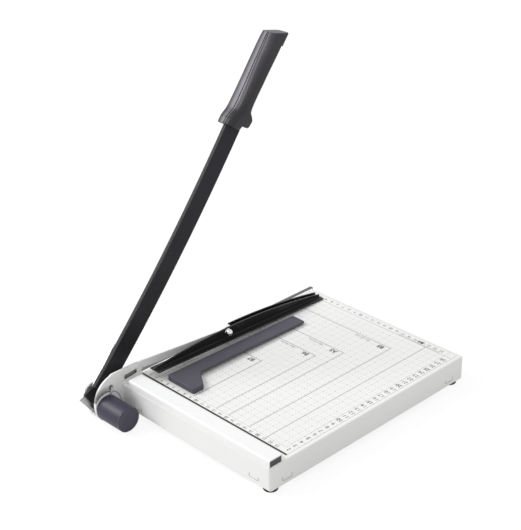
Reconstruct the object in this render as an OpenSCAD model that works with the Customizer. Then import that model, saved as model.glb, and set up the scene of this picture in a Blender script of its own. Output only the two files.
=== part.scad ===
// Desk paper cutter with a sprung swinging arm and a paper clamp.
// Millimetres. Z = 0 is the table, +Z is up. The origin is on the table under the middle
// of the whole cutter. The cutting edge is at the +X side and the pivot at the +Y end.

/* [Base] */
// Width of the bed from its left side to the cutting edge
bed_w = 255.4; // [200:1:420]
// Length of the base along the cut
bed_l = 323.4; // [280:1:520]
// Height of the bed above the table
bed_h = 36; // [36:0.5:48]
// Thickness of the base's sheet steel
sheet_t = 1.2; // [0.8:0.1:1.6]
// Corner radius of the base seen from above
corner_r = 3; // [2:0.5:8]
// Bend radius along the top edges of the base
edge_r = 1.8; // [1.4:0.1:3]
// Length of the recess for the bracket, from the back
notch_l = 31.5; // [26:0.5:36]
// Depth of the recess for the bracket
notch_d = 6; // [5:0.5:8]
// Width of a stamped mark in the skirt
mark_w = 15; // [10:1:20]
// Height of a stamped mark in the skirt
mark_h = 5.6; // [4:0.2:8]

/* [Feet] */
// Diameter of a rubber foot
foot_d = 17; // [14:0.5:20]
// Height of a rubber foot under the skirt
foot_h = 6.5; // [5:0.5:9]
// Distance of a foot's centre from the skirt
foot_in = 11.2; // [10.5:0.1:14]
// Length of a corner plate's side
plate_l = 36; // [28:1:44]
// Height of a corner plate's flanges
plate_h = 12; // [8:1:13]

/* [Fence] */
// Width of the fence rail
fence_w = 19.5; // [16:0.5:26]
// Height of the fence rail above the bed
fence_h = 9; // [7:0.5:14]
// Wall of the fence rail
fence_t = 1.2; // [1:0.1:1.8]
// Distance of the rail's right end from the cutting edge
fence_end = 23; // [20:1:40]
// Length of an end plug inside the rail
plug_l = 30; // [24:1:45]

/* [Fixed blade] */
// Thickness of the fixed blade
strip_t = 4.4; // [3:0.1:6]
// Depth of the fixed blade
strip_h = 22; // [18:1:24]
// Running gap between the two blades
cut_gap = 0.4; // [0.3:0.05:0.8]
// Overhang of the fixed blade past the base's front
strip_over = 2.1; // [0:0.1:3]

/* [Pivot bracket] */
// Distance of the pivot behind the base
pivot_back = 25.5; // [24:0.5:32]
// Depth of the pivot below the bed
pivot_drop = 20; // [18:0.5:20]
// Thickness of the bracket
cheek_t = 2.5; // [2:0.1:3]
// Radius of the inner cheek's rounded back
cheek_r = 31.5; // [30:0.5:34]
// Height of the inner cheek above the bed
cheek_rise = 18; // [16:0.5:20]
// Radius of the outer cheek's round top
ear_r = 9.5; // [8:0.5:11]
// Height of the round top's middle above the pivot
ear_rise = 15; // [13:0.5:17]
// Radius of the raised seat round the pivot
seat_r = 20.4; // [17:0.2:22]
// Height of the raised seat
seat_h = 1.2; // [0.6:0.1:1.6]
// Length of the slot in the cheek
slot_l = 19; // [12:0.5:20]
// Height of the slot in the cheek
slot_h = 6; // [4:0.5:7]

/* [Pivot and spring] */
// Diameter of the pivot shaft
shaft_d = 10; // [8:0.5:11]
// Running clearance of the shaft
run_gap = 0.05; // [0.02:0.01:0.1]
// Diameter of the spring cap
cap_d = 31; // [30:0.5:31]
// Length of the spring cap
cap_l = 40; // [34:0.5:48]
// Diameter of the spring wire
wire_d = 2.5; // [2:0.1:2.6]
// Curls of the return spring
curls = 9; // [6:0.5:9.5]
// Distance of the spring's hook from the pivot
hook_r = 23.8; // [22.5:0.1:25]

/* [Arm] */
// Angle of the open arm above the bed
arm_angle = 50.8; // [40:0.2:60]
// Length of the arm from the pivot to the handle
arm_l = 354; // [310:1:560]
// Depth of the arm and knife
arm_d = 24.2; // [20:0.2:28]
// Bow radius of the cutting edge
bow_r = 2580; // [2200:10:4000]
// Offset of the cutting edge from the pivot's line at mid length
edge_off = 12.1; // [10:0.1:13]
// Thickness of the knife
knife_t = 2; // [1.6:0.1:2.5]
// Thickness of the arm bar
bar_t = 3.5; // [3:0.1:4.5]
// Thickness of the pivot plate
pplate_t = 2.5; // [2:0.1:3]

/* [Handle] */
// Length of the handle
grip_l = 132; // [110:1:160]
// Greatest width of the handle
grip_w = 27; // [24:0.5:32]
// Width of the seam groove
seam_w = 1.2; // [0.6:0.1:1.6]
// Depth of the seam groove
seam_d = 0.8; // [0.4:0.1:1.2]

/* [Paper clamp] */
// Length of the clamp bar
clamp_l = 277.5; // [230:0.5:470]
// Distance of the clamp's front edge from the cutting edge
clamp_x = 38; // [34:0.5:44]
// Width of the clamp's foot
clamp_w = 16.4; // [14:0.2:18]
// Width of the foot's front flange
flange_w = 7.8; // [6:0.2:9]
// Sheet thickness of the clamp
clamp_t = 1.3; // [1:0.1:1.6]
// Height of the clamp at its middle
clamp_mid = 15; // [13.5:0.2:18]
// Height of the clamp at its ends
clamp_tip = 4; // [3:0.2:8]
// Tilt of the resting clamp
clamp_tilt = 1.94; // [1:0.02:2.2]
// Height of the clamp screw above the foot
pin_up = 9.4; // [8.6:0.1:9.6]
// Diameter of the dome head
dome_d = 9; // [8:0.5:10]
// Thickness of the press lever
lever_t = 2.5; // [2:0.1:2.6]
// Height of the press lever
lever_h = 9.5; // [8:0.5:9.5]

/* [Corner guide] */
// Length of the guide
guide_l = 206.5; // [150:1:215]
// Width of the guide's leg
guide_leg = 21.6; // [18:0.2:24]
// Width of the guide's head
guide_head = 45.6; // [40:0.5:60]
// Thickness of the guide at the head
guide_t = 7; // [6:0.1:9]
// Thickness of the guide at the tip of the leg
guide_tip = 4.4; // [4.2:0.1:6]
// Turn of the guide as it lies
guide_turn = 0.3; // [0:0.1:2]
// Distance of the guide from the cutting edge
guide_x = 43; // [42.5:0.1:60]
// Distance of the guide from the fence
guide_y = 21.9; // [15:0.5:40]

/* [Hidden] */
$fn = 64;
big_fn = 1440;
gap = 0.3;

// What stands out past the cutting edge and behind the base
side_gap = 1;
head_h = 5.5;
tail_r = 25.3;
over_x = knife_t + bar_t + pplate_t + side_gap + cheek_t + gap + head_h;
over_y = pivot_back + tail_r;

// Planes of the base
x_left = -(bed_w + over_x) / 2;
x_cut = x_left + bed_w;
y_front = -(bed_l + over_y - strip_over) / 2;
y_back = y_front + bed_l;
x_side = x_cut - cut_gap - strip_t;
notch_x = x_side - notch_d;
notch_y = y_back - notch_l;
skirt_z = foot_h;
fence_y = y_back - fence_w;

// Pivot stack along X
pivot_y = y_back + pivot_back;
pivot_z = bed_h - pivot_drop;
shaft_r = shaft_d / 2;
bore_r = shaft_r + run_gap;
cheek_x = notch_x;
lever_x = cheek_x + cheek_t + gap;
knife_x = x_cut;
bar_x = knife_x + knife_t;
pplate_x = bar_x + bar_t;
outer_x = pplate_x + pplate_t + side_gap;
seat_x = cheek_x - seat_h;
web_z = 0.5;
web_front = 17;
web_back = 8;
nut_af = 13;

// Arm
mid_s = arm_l * 0.59;
arm_mid = knife_x + (knife_t + bar_t) / 2;
bar_back = 3;
knife_s0 = 12;
knife_s1 = arm_l + 4;
bar_s1 = arm_l + 7.5;
tang_l = 86;
knife_bolts = [for (k = [0.25, 0.48, 0.71, 0.94]) arm_l * k];
rivets = [36, 58];

// Clamp and lever
clamp_x0 = x_cut - clamp_x;
wall_x = clamp_x0 + flange_w;
rear_x = clamp_x0 + clamp_w - clamp_t;
end_x = wall_x + clamp_t + gap;
lever_reach = 118;
foot_lift = 6.1;
pin_y = notch_y - lever_reach;
pin_z = bed_h + pin_up + foot_lift;
pin_r = 2.5;
clamp_rear = 115.8;

// A flat shape drawn in Y and Z, made t thick from x0 towards +X
module yz(x0, t) {
    translate([x0, 0, 0])
        rotate([90, 0, 90])
            linear_extrude(t)
                children();
}

// A flat shape drawn in X and Z, made l long from y0 towards +Y
module xz(y0, l) {
    translate([0, y0 + l, 0])
        rotate([90, 0, 0])
            linear_extrude(l)
                children();
}

// A round rod along X
module rod_x(x0, l, r, y = 0, z = 0) {
    translate([x0, y, z])
        rotate([0, 90, 0])
            cylinder(h = l, r = r);
}

// A rectangle with rounded corners
module round_rect(x0, y0, x1, y1, r) {
    translate([x0 + r, y0])
        square([x1 - x0 - 2 * r, y1 - y0]);
    translate([x0, y0 + r])
        square([x1 - x0, y1 - y0 - 2 * r]);
    for (x = [x0 + r, x1 - r], y = [y0 + r, y1 - r])
        translate([x, y])
            circle(r);
}

// A countersunk screw along -Z, its flat head at z = 0, with a hexagon socket
module csk_screw(r, head_r, l) {
    difference() {
        union() {
            cylinder_down(head_r - r, r, head_r);
            translate([0, 0, -l])
                cylinder(h = l - 0.1, r = r);
        }
        translate([0, 0, -head_r * 0.4])
            cylinder(h = head_r, r = r * 0.62, $fn = 6);
    }
}

module cylinder_down(h, r_low, r_top) {
    translate([0, 0, -h])
        cylinder(h = h, r1 = r_low, r2 = r_top);
}

// A pan head screw along -Z, its head's seat at z = 0
module pan_screw(r, head_r, head_h, l) {
    difference() {
        union() {
            cylinder(h = head_h * 0.6, r = head_r);
            translate([0, 0, head_h * 0.6])
                cylinder(h = head_h * 0.4, r1 = head_r, r2 = head_r * 0.75);
            translate([0, 0, -l])
                cylinder(h = l + 0.1, r = r);
        }
        translate([0, 0, head_h * 0.45])
            cylinder(h = head_h, r = r * 0.62, $fn = 6);
    }
}

// A dome of radius r at its foot and height h, standing on z = 0
module dome(r, h) {
    rs = (r * r + h * h) / (2 * h);
    rotate_extrude()
        intersection() {
            translate([0, h - rs])
                circle(rs, $fn = 96);
            square([r, h]);
        }
}

// A hexagon nut standing on z = 0
module hex_nut(af, h, r) {
    difference() {
        cylinder(h = h, r = af / sqrt(3), $fn = 6);
        translate([0, 0, -1])
            cylinder(h = h + 2, r = r);
    }
}

// Base

// Plan of the base, moved in by i, with the recess for the bracket
module tray_plan(i) {
    r = max(corner_r - i, 0.4);
    difference() {
        round_rect(x_left + i, y_front + i, x_side - i, y_back - i, r);
        translate([notch_x - i, notch_y - i])
            square([notch_d + 10, notch_l + 10]);
    }
}

// The base's outer form, moved in by i, with rolled top edges
module tray_form(i, z0) {
    r = max(edge_r - i, 0.3);
    intersection() {
        translate([0, 0, z0])
            linear_extrude(bed_h - i - z0)
                tray_plan(i);
        xz(y_front - 1, bed_l + 2)
            round_rect(x_left + i, z0 - 9, x_side - i, bed_h - i, r);
        yz(x_left - 1, bed_w + 2)
            round_rect(y_front + i, z0 - 9, y_back - i, bed_h - i, r);
    }
}

// One U-shaped mark, open at the top, drawn flat round its lower middle
module mark_shape() {
    groove = 1.1;
    difference() {
        round_rect(-mark_w / 2, 0, mark_w / 2, mark_h + 3, 2.6);
        round_rect(-mark_w / 2 + groove, groove, mark_w / 2 - groove, mark_h + 5, 1.6);
        translate([-mark_w, mark_h])
            square([mark_w * 2, 8]);
    }
}

mark_in = 25.5;
mark_z = skirt_z + 4;
mark_deep = 0.4;

module skirt_marks() {
    for (x = [x_left + mark_in, notch_x - mark_in])
        translate([x, y_back - mark_deep, mark_z])
            xz(0, 1)
                mark_shape();
    for (x = [x_left + mark_in, x_side - mark_in])
        translate([x, y_front + mark_deep - 1, mark_z])
            xz(0, 1)
                mark_shape();
    for (y = [y_front + mark_in, y_back - mark_in])
        translate([x_left + mark_deep - 1, y, mark_z])
            yz(0, 1)
                mark_shape();
}

// Corners of the skirt: inner corner point and the directions into the base
corners = [
    [x_left + sheet_t, y_front + sheet_t, 1, 1],
    [x_left + sheet_t, y_back - sheet_t, 1, -1],
    [x_side - sheet_t, y_front + sheet_t, -1, 1],
    [notch_x - sheet_t, y_back - sheet_t, -1, -1]
];
foot_c = foot_in - sheet_t;

module at_corners() {
    for (c = corners)
        translate([c[0], c[1], skirt_z])
            mirror([c[2] < 0 ? 1 : 0, 0, 0])
                mirror([0, c[3] < 0 ? 1 : 0, 0])
                    children();
}

fence_screw_x = [x_left + 1.4 + plug_l * 0.6, x_cut - fence_end - plug_l * 0.6];
fence_screw_y = fence_y + fence_w / 2;
blade_screw_y = [for (k = [0.1, 0.36, 0.62, 0.88]) y_front + (notch_y - y_front) * k];
blade_screw_z = bed_h - strip_h / 2;
bracket_bolts = [[notch_y + 6, bed_h - 7], [y_back - 6.5, bed_h - 7], [notch_y + notch_l / 2, bed_h - 12.6]];

module base_tray() {
    color("whitesmoke")
    difference() {
        tray_form(0, skirt_z);
        tray_form(sheet_t, skirt_z - 5);
        skirt_marks();
        for (x = fence_screw_x)
            translate([x, fence_screw_y, bed_h - 5])
                cylinder(h = 10, r = 1.7);
        for (y = blade_screw_y)
            rod_x(x_side - 5, 10, 2.1, y, blade_screw_z);
        for (b = bracket_bolts)
            rod_x(notch_x - 5, 10, 2.1, b[0], b[1]);
    }
}

// Corner plates: a floor for the foot and two flanges against the skirt
module foot_plates() {
    color("silver")
    at_corners()
        difference() {
            union() {
                linear_extrude(sheet_t)
                    polygon([[0, 0], [plate_l, 0], [plate_l, 8], [8, plate_l], [0, plate_l]]);
                cube([plate_l, sheet_t, plate_h]);
                cube([sheet_t, plate_l, plate_h]);
            }
            translate([0, 0, -1])
                linear_extrude(plate_h + 2)
                    polygon([[-1, -1], [4, -1], [-1, 4]]);
            translate([foot_c, foot_c, -1])
                cylinder(h = 4, r = 1.9);
        }
}

module rubber_feet() {
    color("#222224")
    at_corners()
        translate([foot_c, foot_c, -foot_h])
            rotate_extrude()
                difference() {
                    union() {
                        translate([0, 1.2])
                            square([foot_d / 2, foot_h - 1.2]);
                        square([foot_d / 2 - 1.2, foot_h]);
                        translate([foot_d / 2 - 1.2, 1.2])
                            circle(1.2);
                    }
                    translate([-1, -1])
                        square([5.2, 3.6]);
                    translate([-1, -1])
                        square([3.1, foot_h + 2]);
                    translate([-20, -1])
                        square([20, 20]);
                }
}

module foot_screws() {
    color("silver")
    at_corners()
        translate([foot_c, foot_c, -foot_h + 2.6])
            mirror([0, 0, 1])
                pan_screw(1.8, 3.6, 2, foot_h - 2.6 + 4);
}

// Fence

fence_x0 = x_left + 1.4;
fence_x1 = x_cut - fence_end;

// Profile of the rail: an inverted channel with a rounded outer edge
module rail_profile() {
    difference() {
        union() {
            square([fence_w, fence_h - 2.4]);
            translate([0.8, 0])
                square([fence_w - 3.2, fence_h]);
            translate([0.8, fence_h - 0.8])
                circle(0.8);
            translate([0, fence_h - 2.5])
                square([4, 1.7]);
            translate([fence_w - 2.4, fence_h - 2.4])
                circle(2.4);
        }
        translate([fence_t, -1])
            square([fence_w - 2 * fence_t, fence_h + 1 - max(fence_t, 1.6)]);
        translate([fence_t + 0.4, 0])
            square([fence_w - 2 * fence_t - 1.2, fence_h - fence_t]);
    }
}

module fence_rail() {
    color("white")
    translate([fence_x0, fence_y, bed_h])
        rotate([90, 0, 90])
            linear_extrude(fence_x1 - fence_x0)
                rail_profile();
}

// A plug fills the channel's end and takes the screw from under the bed
module one_plug() {
    c = 0.1;
    difference() {
        translate([0.4, fence_t + c, 0])
            cube([plug_l, fence_w - 2 * fence_t - 2 * c, fence_h - max(fence_t, 1.6) - c]);
        translate([plug_l * 0.6, fence_w / 2, -1])
            cylinder(h = 6.2, r = 1.35);
        for (s = [0, 1])
            translate([plug_l * 0.2 + s * plug_l * 0.52, 4, 1.5])
                cube([plug_l * 0.28, fence_w - 8, fence_h]);
    }
}

module fence_plugs() {
    color("#484648") {
        translate([fence_x0, fence_y, bed_h])
            one_plug();
        translate([fence_x1, fence_y, bed_h])
            mirror([1, 0, 0])
                one_plug();
    }
}

module fence_screws() {
    color("silver")
    for (x = fence_screw_x)
        translate([x, fence_screw_y, bed_h - sheet_t])
            mirror([0, 0, 1])
                pan_screw(1.3, 3.2, 2, sheet_t + 4.6);
}

// Fixed blade

module at_blade_screws(x) {
    for (y = blade_screw_y)
        translate([x, y, blade_screw_z])
            rotate([0, 90, 0])
                children();
}

module fixed_blade() {
    color("slategray")
    difference() {
        translate([x_side, y_front - strip_over, bed_h - strip_h])
            cube([strip_t, notch_y - y_front + strip_over, strip_h]);
        at_blade_screws(x_side + strip_t)
            union() {
                cylinder_down(2.3, 2.05, 4.35);
                translate([0, 0, -strip_t - 1])
                    cylinder(h = strip_t + 1, r = 2.1);
                translate([0, 0, -0.01])
                    cylinder(h = 1, r = 4.35);
            }
        translate([x_side - 1, y_front - strip_over, bed_h - strip_h])
            rotate([45, 0, 0])
                cube([strip_t + 2, 2.2, 2.2], center = false);
    }
}

module fixed_blade_screws() {
    color("silver")
    at_blade_screws(x_side + strip_t - 0.15)
        csk_screw(2, 4.2, strip_t + sheet_t + 4);
}

module fixed_blade_nuts() {
    color("silver")
    at_blade_screws(x_side - sheet_t - 3.2)
        hex_nut(7, 3.2, 2.05);
}

// Pivot bracket

// Outline of the inner cheek: a tall front, a flat top and a round back
module cheek_shape() {
    front = notch_y + gap;
    top = bed_h + cheek_rise;
    step = pivot_y - 13.5;
    difference() {
        union() {
            polygon([[front, skirt_z + 1], [front, bed_h], [front + 6.9, top], [step, top],
                [step, skirt_z + 1]]);
            translate([step, top - 8])
                circle(8);
            translate([pivot_y - 16, pivot_z + 5.5])
                circle(cheek_r, $fn = 128);
        }
        translate([front - 20, -60])
            square([120, 60 + web_z]);
        translate([front - 20, -1])
            square([20 + y_back - front, skirt_z + 2]);
    }
}

// The outer cheek is an upright ear with a round top, narrower where it meets the web
module outer_cheek() {
    ear_y = pivot_y + 3;
    ear_z = pivot_z + ear_rise;
    yz(outer_x, cheek_t)
        translate([ear_y, ear_z])
            circle(ear_r);
    yz(outer_x, cheek_t)
        polygon([[pivot_y - web_front, web_z], [pivot_y + 6, web_z], [ear_y + ear_r, pivot_z - 2],
            [ear_y + ear_r, ear_z], [ear_y - ear_r, ear_z], [pivot_y - 15, pivot_z - 3]]);
}

// The slot lies low in the front part of the cheek
slot_y = notch_y + 18.6;
slot_z = bed_h + 6.8;

module slot_shape() {
    translate([slot_y, slot_z])
        rotate(-5)
            round_rect(-slot_l / 2, -slot_h / 2, slot_l / 2, slot_h / 2, 1.6);
}

hook_a = 111.5;
hook_y = pivot_y + hook_r * cos(hook_a);
hook_z = pivot_z + hook_r * sin(hook_a);

module pivot_bracket() {
    out_x = outer_x + cheek_t;
    color("whitesmoke")
    difference() {
        union() {
            intersection() {
                union() {
                    yz(cheek_x, cheek_t)
                        cheek_shape();
                    outer_cheek();
                    translate([cheek_x, pivot_y - web_front, web_z])
                        cube([out_x - cheek_x, web_front + web_back, cheek_t]);
                }
                xz(notch_y - 5, 120)
                    round_rect(cheek_x, web_z, out_x, bed_h + 60, 2.4);
            }
            intersection() {
                yz(seat_x - 1, cheek_t + 1)
                    cheek_shape();
                translate([seat_x, pivot_y, pivot_z])
                    rotate([0, 90, 0])
                        cylinder(h = seat_h + 0.5, r1 = seat_r - 0.7, r2 = seat_r, $fn = 128);
            }
        }
        rod_x(seat_x - 5, 60, bore_r, pivot_y, pivot_z);
        rod_x(cheek_x - 5, 10, wire_d / 2 + 1, hook_y, hook_z);
        yz(cheek_x - 5, 12)
            slot_shape();
        for (b = bracket_bolts)
            translate([cheek_x + cheek_t, b[0], b[1]])
                rotate([0, 90, 0])
                    union() {
                        cylinder_down(2.1, 2.05, 4.15);
                        translate([0, 0, -cheek_t - 1])
                            cylinder(h = cheek_t + 1, r = 2.1);
                        translate([0, 0, -0.01])
                            cylinder(h = 1, r = 4.15);
                    }
    }
}

module bracket_screws() {
    color("silver")
    for (b = bracket_bolts)
        translate([cheek_x + cheek_t - 0.1, b[0], b[1]])
            rotate([0, 90, 0])
                csk_screw(2, 4, cheek_t + sheet_t + 4);
}

module bracket_nuts() {
    color("silver")
    for (b = bracket_bolts)
        translate([notch_x - sheet_t - 3.2, b[0], b[1]])
            rotate([0, 90, 0])
                hex_nut(7, 3.2, 2.05);
}

// Pivot, cap and spring

module arm_spacer() {
    x0 = lever_x + lever_t + gap;
    color("silver")
    difference() {
        rod_x(x0, bar_x - gap - x0, shaft_r + 3, pivot_y, pivot_z);
        rod_x(x0 - 1, 20, bore_r, pivot_y, pivot_z);
    }
}

module pivot_washer() {
    x0 = pplate_x + pplate_t + gap;
    color("silver")
    difference() {
        rod_x(x0, outer_x - x0, shaft_r + 4, pivot_y, pivot_z);
        rod_x(x0 - 1, 20, bore_r, pivot_y, pivot_z);
    }
}

cap_x = seat_x - cap_l;

// The cap is a cup over the spring, notched at its rim for the spring's leg
module spring_cap() {
    r = cap_d / 2;
    t = 1.6;
    color("#5b5866")
    difference() {
        translate([cap_x, pivot_y, pivot_z])
            rotate([0, 90, 0])
                rotate_extrude($fn = 96)
                    polygon([[0, 0], [r - 1, 0], [r, 1], [r, cap_l], [r - t, cap_l], [r - t, 2.2], [0, 2.2]]);
        translate([seat_x - wire_d - 0.9, pivot_y, pivot_z])
            rotate([hook_a - 90, 0, 0])
                translate([0, -wire_d / 2 - 1, r - t - 3])
                    cube([10, wire_d + 2, 10]);
    }
}

function unit(v) = v / norm(v);
function along(p) = [for (i = [0 : len(p) - 1])
    unit(p[min(i + 1, len(p) - 1)] - p[max(i - 1, 0)])];
function carry(n, t) = unit(n - (n * t) * t);
function sides(t, n0) = [for (i = 0, n = carry(n0, t[0]); i < len(t);
    n = carry(n, t[min(i + 1, len(t) - 1)]), i = i + 1) n];

// A closed tube of m sides along the points p
module tube(p, r, m, n0) {
    t = along(p);
    n = sides(t, n0);
    k = len(p);
    pts = [for (i = [0 : k - 1], j = [0 : m - 1])
        p[i] + r * (cos(360 * j / m) * n[i] + sin(360 * j / m) * cross(t[i], n[i]))];
    walls = [for (i = [0 : k - 2], j = [0 : m - 1], h = [0, 1])
        let (a = i * m + j, b = i * m + (j + 1) % m)
        h == 0 ? [a, a + m, b + m] : [a, b + m, b]];
    start = [for (j = [0 : m - 1]) j];
    end = [for (j = [0 : m - 1]) k * m - 1 - j];
    polyhedron(points = pts, faces = concat(walls, [start, end]));
}

// Route of the spring wire: hook, leg over the seat, curls, then a leg towards the shaft's slot
leg_x = seat_x - wire_d / 2 - 0.15;
coil_r = cap_d / 2 - 1.6 - wire_d / 2 - 1.85;
pitch = wire_d + 0.8;
coil_a = hook_a + 38;
turns = curls * 8;
coil_x = leg_x - 0.1;
end_a = coil_a + 360 * curls;
leg_end_x = coil_x - pitch * curls - 0.4;

function polar(x, r, a) = [x, pivot_y + r * cos(a), pivot_z + r * sin(a)];

spring_path = concat(
    [polar(cheek_x + cheek_t - 0.6, hook_r, hook_a), polar(leg_x + 2.6, hook_r, hook_a),
        polar(leg_x + 0.9, hook_r - 0.5, hook_a), polar(leg_x, hook_r - 2.4, hook_a),
        polar(leg_x, coil_r + 4.2, hook_a), polar(leg_x, coil_r + 1.6, hook_a + 6),
        polar(leg_x, coil_r + 0.3, hook_a + 19)],
    [for (i = [0 : turns]) polar(coil_x - pitch * i / 8, coil_r, coil_a + 45 * i)],
    [polar(leg_end_x, coil_r - 0.7, end_a + 19), polar(leg_end_x, coil_r - 2.4, end_a + 33),
        polar(leg_end_x, shaft_r + 0.4, end_a + 42)]
);

// Least distance between two stretches of the wire, measured on the route's points
spring_gap = min([for (i = [0 : len(spring_path) - 7], j = [i + 6 : len(spring_path) - 1])
    norm(spring_path[i] - spring_path[j])]) - wire_d;

module return_spring() {
    echo(str("least gap of the spring wire to itself ", spring_gap, " mm"));
    color("#3a3a3c")
    tube(spring_path, wire_d / 2, 6, [0, 0, 1]);
}

module pivot_shaft() {
    x0 = leg_end_x - wire_d / 2 - 1.6;
    head_x = outer_x + cheek_t + gap;
    color("silver")
    difference() {
        union() {
            rod_x(x0, head_x - x0 + 1, shaft_r, pivot_y, pivot_z);
            translate([head_x, pivot_y, pivot_z])
                rotate([0, 90, 0])
                    cylinder(h = head_h, r = 15 / sqrt(3), $fn = 6);
        }
        translate([x0 - 1, pivot_y, pivot_z])
            rotate([end_a + 42, 0, 0])
                translate([0, -20, -wire_d / 2 - 0.3])
                    cube([wire_d + 3.2, 40, wire_d + 0.6]);
    }
}

module pivot_nut() {
    color("silver")
    translate([seat_x - gap - 6, pivot_y, pivot_z])
        rotate([0, 90, 0])
            hex_nut(nut_af, 6, bore_r);
}

// Arm

// The arm's own frame: Y runs along the arm from the pivot, Z towards the cut
module arm_frame() {
    translate([0, pivot_y, pivot_z])
        rotate([180 - arm_angle, 0, 0])
            children();
}

// A bowed bar between two places along the arm; the profile is drawn as
// distance from the bow's centre and minus the distance in X
module bowed(s0, s1) {
    a0 = (s0 - mid_s) / bow_r * 180 / PI;
    a1 = (s1 - mid_s) / bow_r * 180 / PI;
    translate([0, mid_s, edge_off - bow_r])
        rotate([0, -90, 0])
            rotate([0, 0, a0])
                rotate_extrude(angle = a1 - a0, $fn = big_fn)
                    children();
}

// Offset of the bowed cutting edge at a place along the arm
function edge_at(s) = edge_off - bow_r + sqrt(bow_r * bow_r - (s - mid_s) * (s - mid_s));

module cutting_arm() {
    r1 = bow_r - bar_back;
    r0 = bow_r - arm_d;
    x0 = bar_x;
    x1 = bar_x + bar_t;
    c = 0.4;
    color("#2a282a")
    arm_frame()
        difference() {
            union() {
                bowed(knife_s0, bar_s1)
                    polygon([[r0, -x0], [r0, -x1 + c], [r0 + c, -x1], [r1 - c, -x1], [r1, -x1 + c],
                        [r1, -x0]]);
                yz(x0, bar_t)
                    union() {
                        circle(10);
                        polygon([[14, edge_at(14) - arm_d], [11, -22], [3.1, -tail_r], [0.5, -tail_r],
                            [-1.6, -18.7], [-4.3, -11.7], [-8.3, -2.8], [-4, 8], [14, edge_at(14) - bar_back]]);
                        translate([arm_l + 5, edge_at(arm_l) - 20.8])
                            square([tang_l - 5, 10]);
                    }
            }
            rod_x(x0 - 5, 20, bore_r);
            for (s = knife_bolts)
                rod_x(x0 - 5, 20, 2.05, s, edge_at(s) - arm_d * 0.55);
            for (s = rivets)
                rod_x(x0 - 5, 20, 2.55, s, edge_at(s) - arm_d * 0.6);
            for (s = grip_screws)
                rod_x(x0 - 5, 20, 2.3, s, grip_screw_q);
        }
}

module moving_blade() {
    r1 = bow_r;
    r0 = bow_r - arm_d;
    x1 = knife_x + knife_t;
    color("#343436")
    arm_frame()
        difference() {
            bowed(knife_s0, knife_s1)
                polygon([[r0, -knife_x - 0.4], [r0 + 0.4, -knife_x], [r1, -knife_x], [r1 - 2.6, -x1],
                    [r0, -x1]]);
            for (s = knife_bolts)
                rod_x(knife_x + 0.6, 20, 2.05, s, edge_at(s) - arm_d * 0.55);
        }
}

module blade_screws() {
    color("silver")
    arm_frame()
        for (s = knife_bolts)
            translate([bar_x + bar_t, s, edge_at(s) - arm_d * 0.55])
                rotate([0, 90, 0])
                    pan_screw(2, 3.8, 2.4, bar_t + knife_t - 0.7);
}

module pivot_plate() {
    color("#c8cbcb")
    arm_frame()
        difference() {
            union() {
                yz(pplate_x, pplate_t)
                    circle(12.5);
                yz(pplate_x, pplate_t)
                    polygon([[13.6, -17.4], [-6.4, -27.4], [-9.9, -13.9], [-12.2, -5.3], [-12.4, 1.1],
                        [0, 10], [30, 1], [30, -16.4]]);
                yz(pplate_x, pplate_t)
                    round_rect(14, -17, 70, -2, 6);
            }
            rod_x(pplate_x - 5, 20, bore_r);
            for (s = rivets)
                rod_x(pplate_x - 5, 20, 2.55, s, edge_at(s) - arm_d * 0.6);
        }
}

module arm_rivets() {
    color("silver")
    arm_frame()
        for (s = rivets)
            translate([0, s, edge_at(s) - arm_d * 0.6]) {
                rod_x(bar_x + 0.2, bar_t + pplate_t, 2.5);
                translate([pplate_x + pplate_t, 0, 0])
                    rotate([0, 90, 0])
                        dome(4.2, 1.7);
            }
}

// Handle

// Stations of the handle from its lower end: place of the back, place of the front,
// back edge, front edge and half width as a share of the greatest
grip_rows = [
    [0, 2.4, -18.4, 0.6, 0.78],
    [0.8, 3.2, -19.1, 1.2, 0.84],
    [6.6, 8.4, -19, 2.2, 0.88],
    [8.2, 8.8, -18.9, 9.6, 0.89],
    [9.6, 10.2, -18.6, 11.5, 0.89],
    [14, 14.2, -17.6, 12.1, 0.89],
    [18.5, 18.6, -15.6, 11.7, 0.94],
    [22.5, 22.5, -14.4, 9.8, 0.985],
    [27, 27, -14.2, 6.4, 1],
    [33, 33, -14.2, 2.6, 1],
    [39, 39, -14.5, 0.4, 0.96],
    [50, 50, -15.2, -0.8, 0.91],
    [62, 62, -15.7, -1.1, 0.87],
    [78, 78, -16.9, -0.8, 0.79],
    [100, 100.6, -18.2, -0.1, 0.765],
    [111, 114, -19, 0.5, 0.71],
    [117.6, 124, -19.6, 1.1, 0.67],
    [120.2, 130.8, -19.9, 2.5, 0.645],
    [121, 132, -19, 1.8, 0.58]
];

function half_ring(w) =
    let (k = grip_l / 132, sb = arm_l + w[0] * k, sf = arm_l + w[1] * k, qb = w[2], qf = w[3],
        h = w[4] * grip_w / 2, d = qf - qb, rf = min(5, d * 0.38), rb = min(4, d * 0.3), g = seam_w / 2)
    [for (p = concat(
        [[-2, qf - seam_d], [g, qf - seam_d], [g, qf]],
        [for (a = [90 : -22.5 : 0]) [h - rf + rf * cos(a), qf - rf + rf * sin(a)]],
        [for (a = [0 : -22.5 : -90]) [h - rb + rb * cos(a), qb + rb + rb * sin(a)]],
        [[g, qb], [g, qb + seam_d], [-2, qb + seam_d]]))
        [p[0], sb + (sf - sb) * (p[1] - qb) / d, p[1]]];

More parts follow.
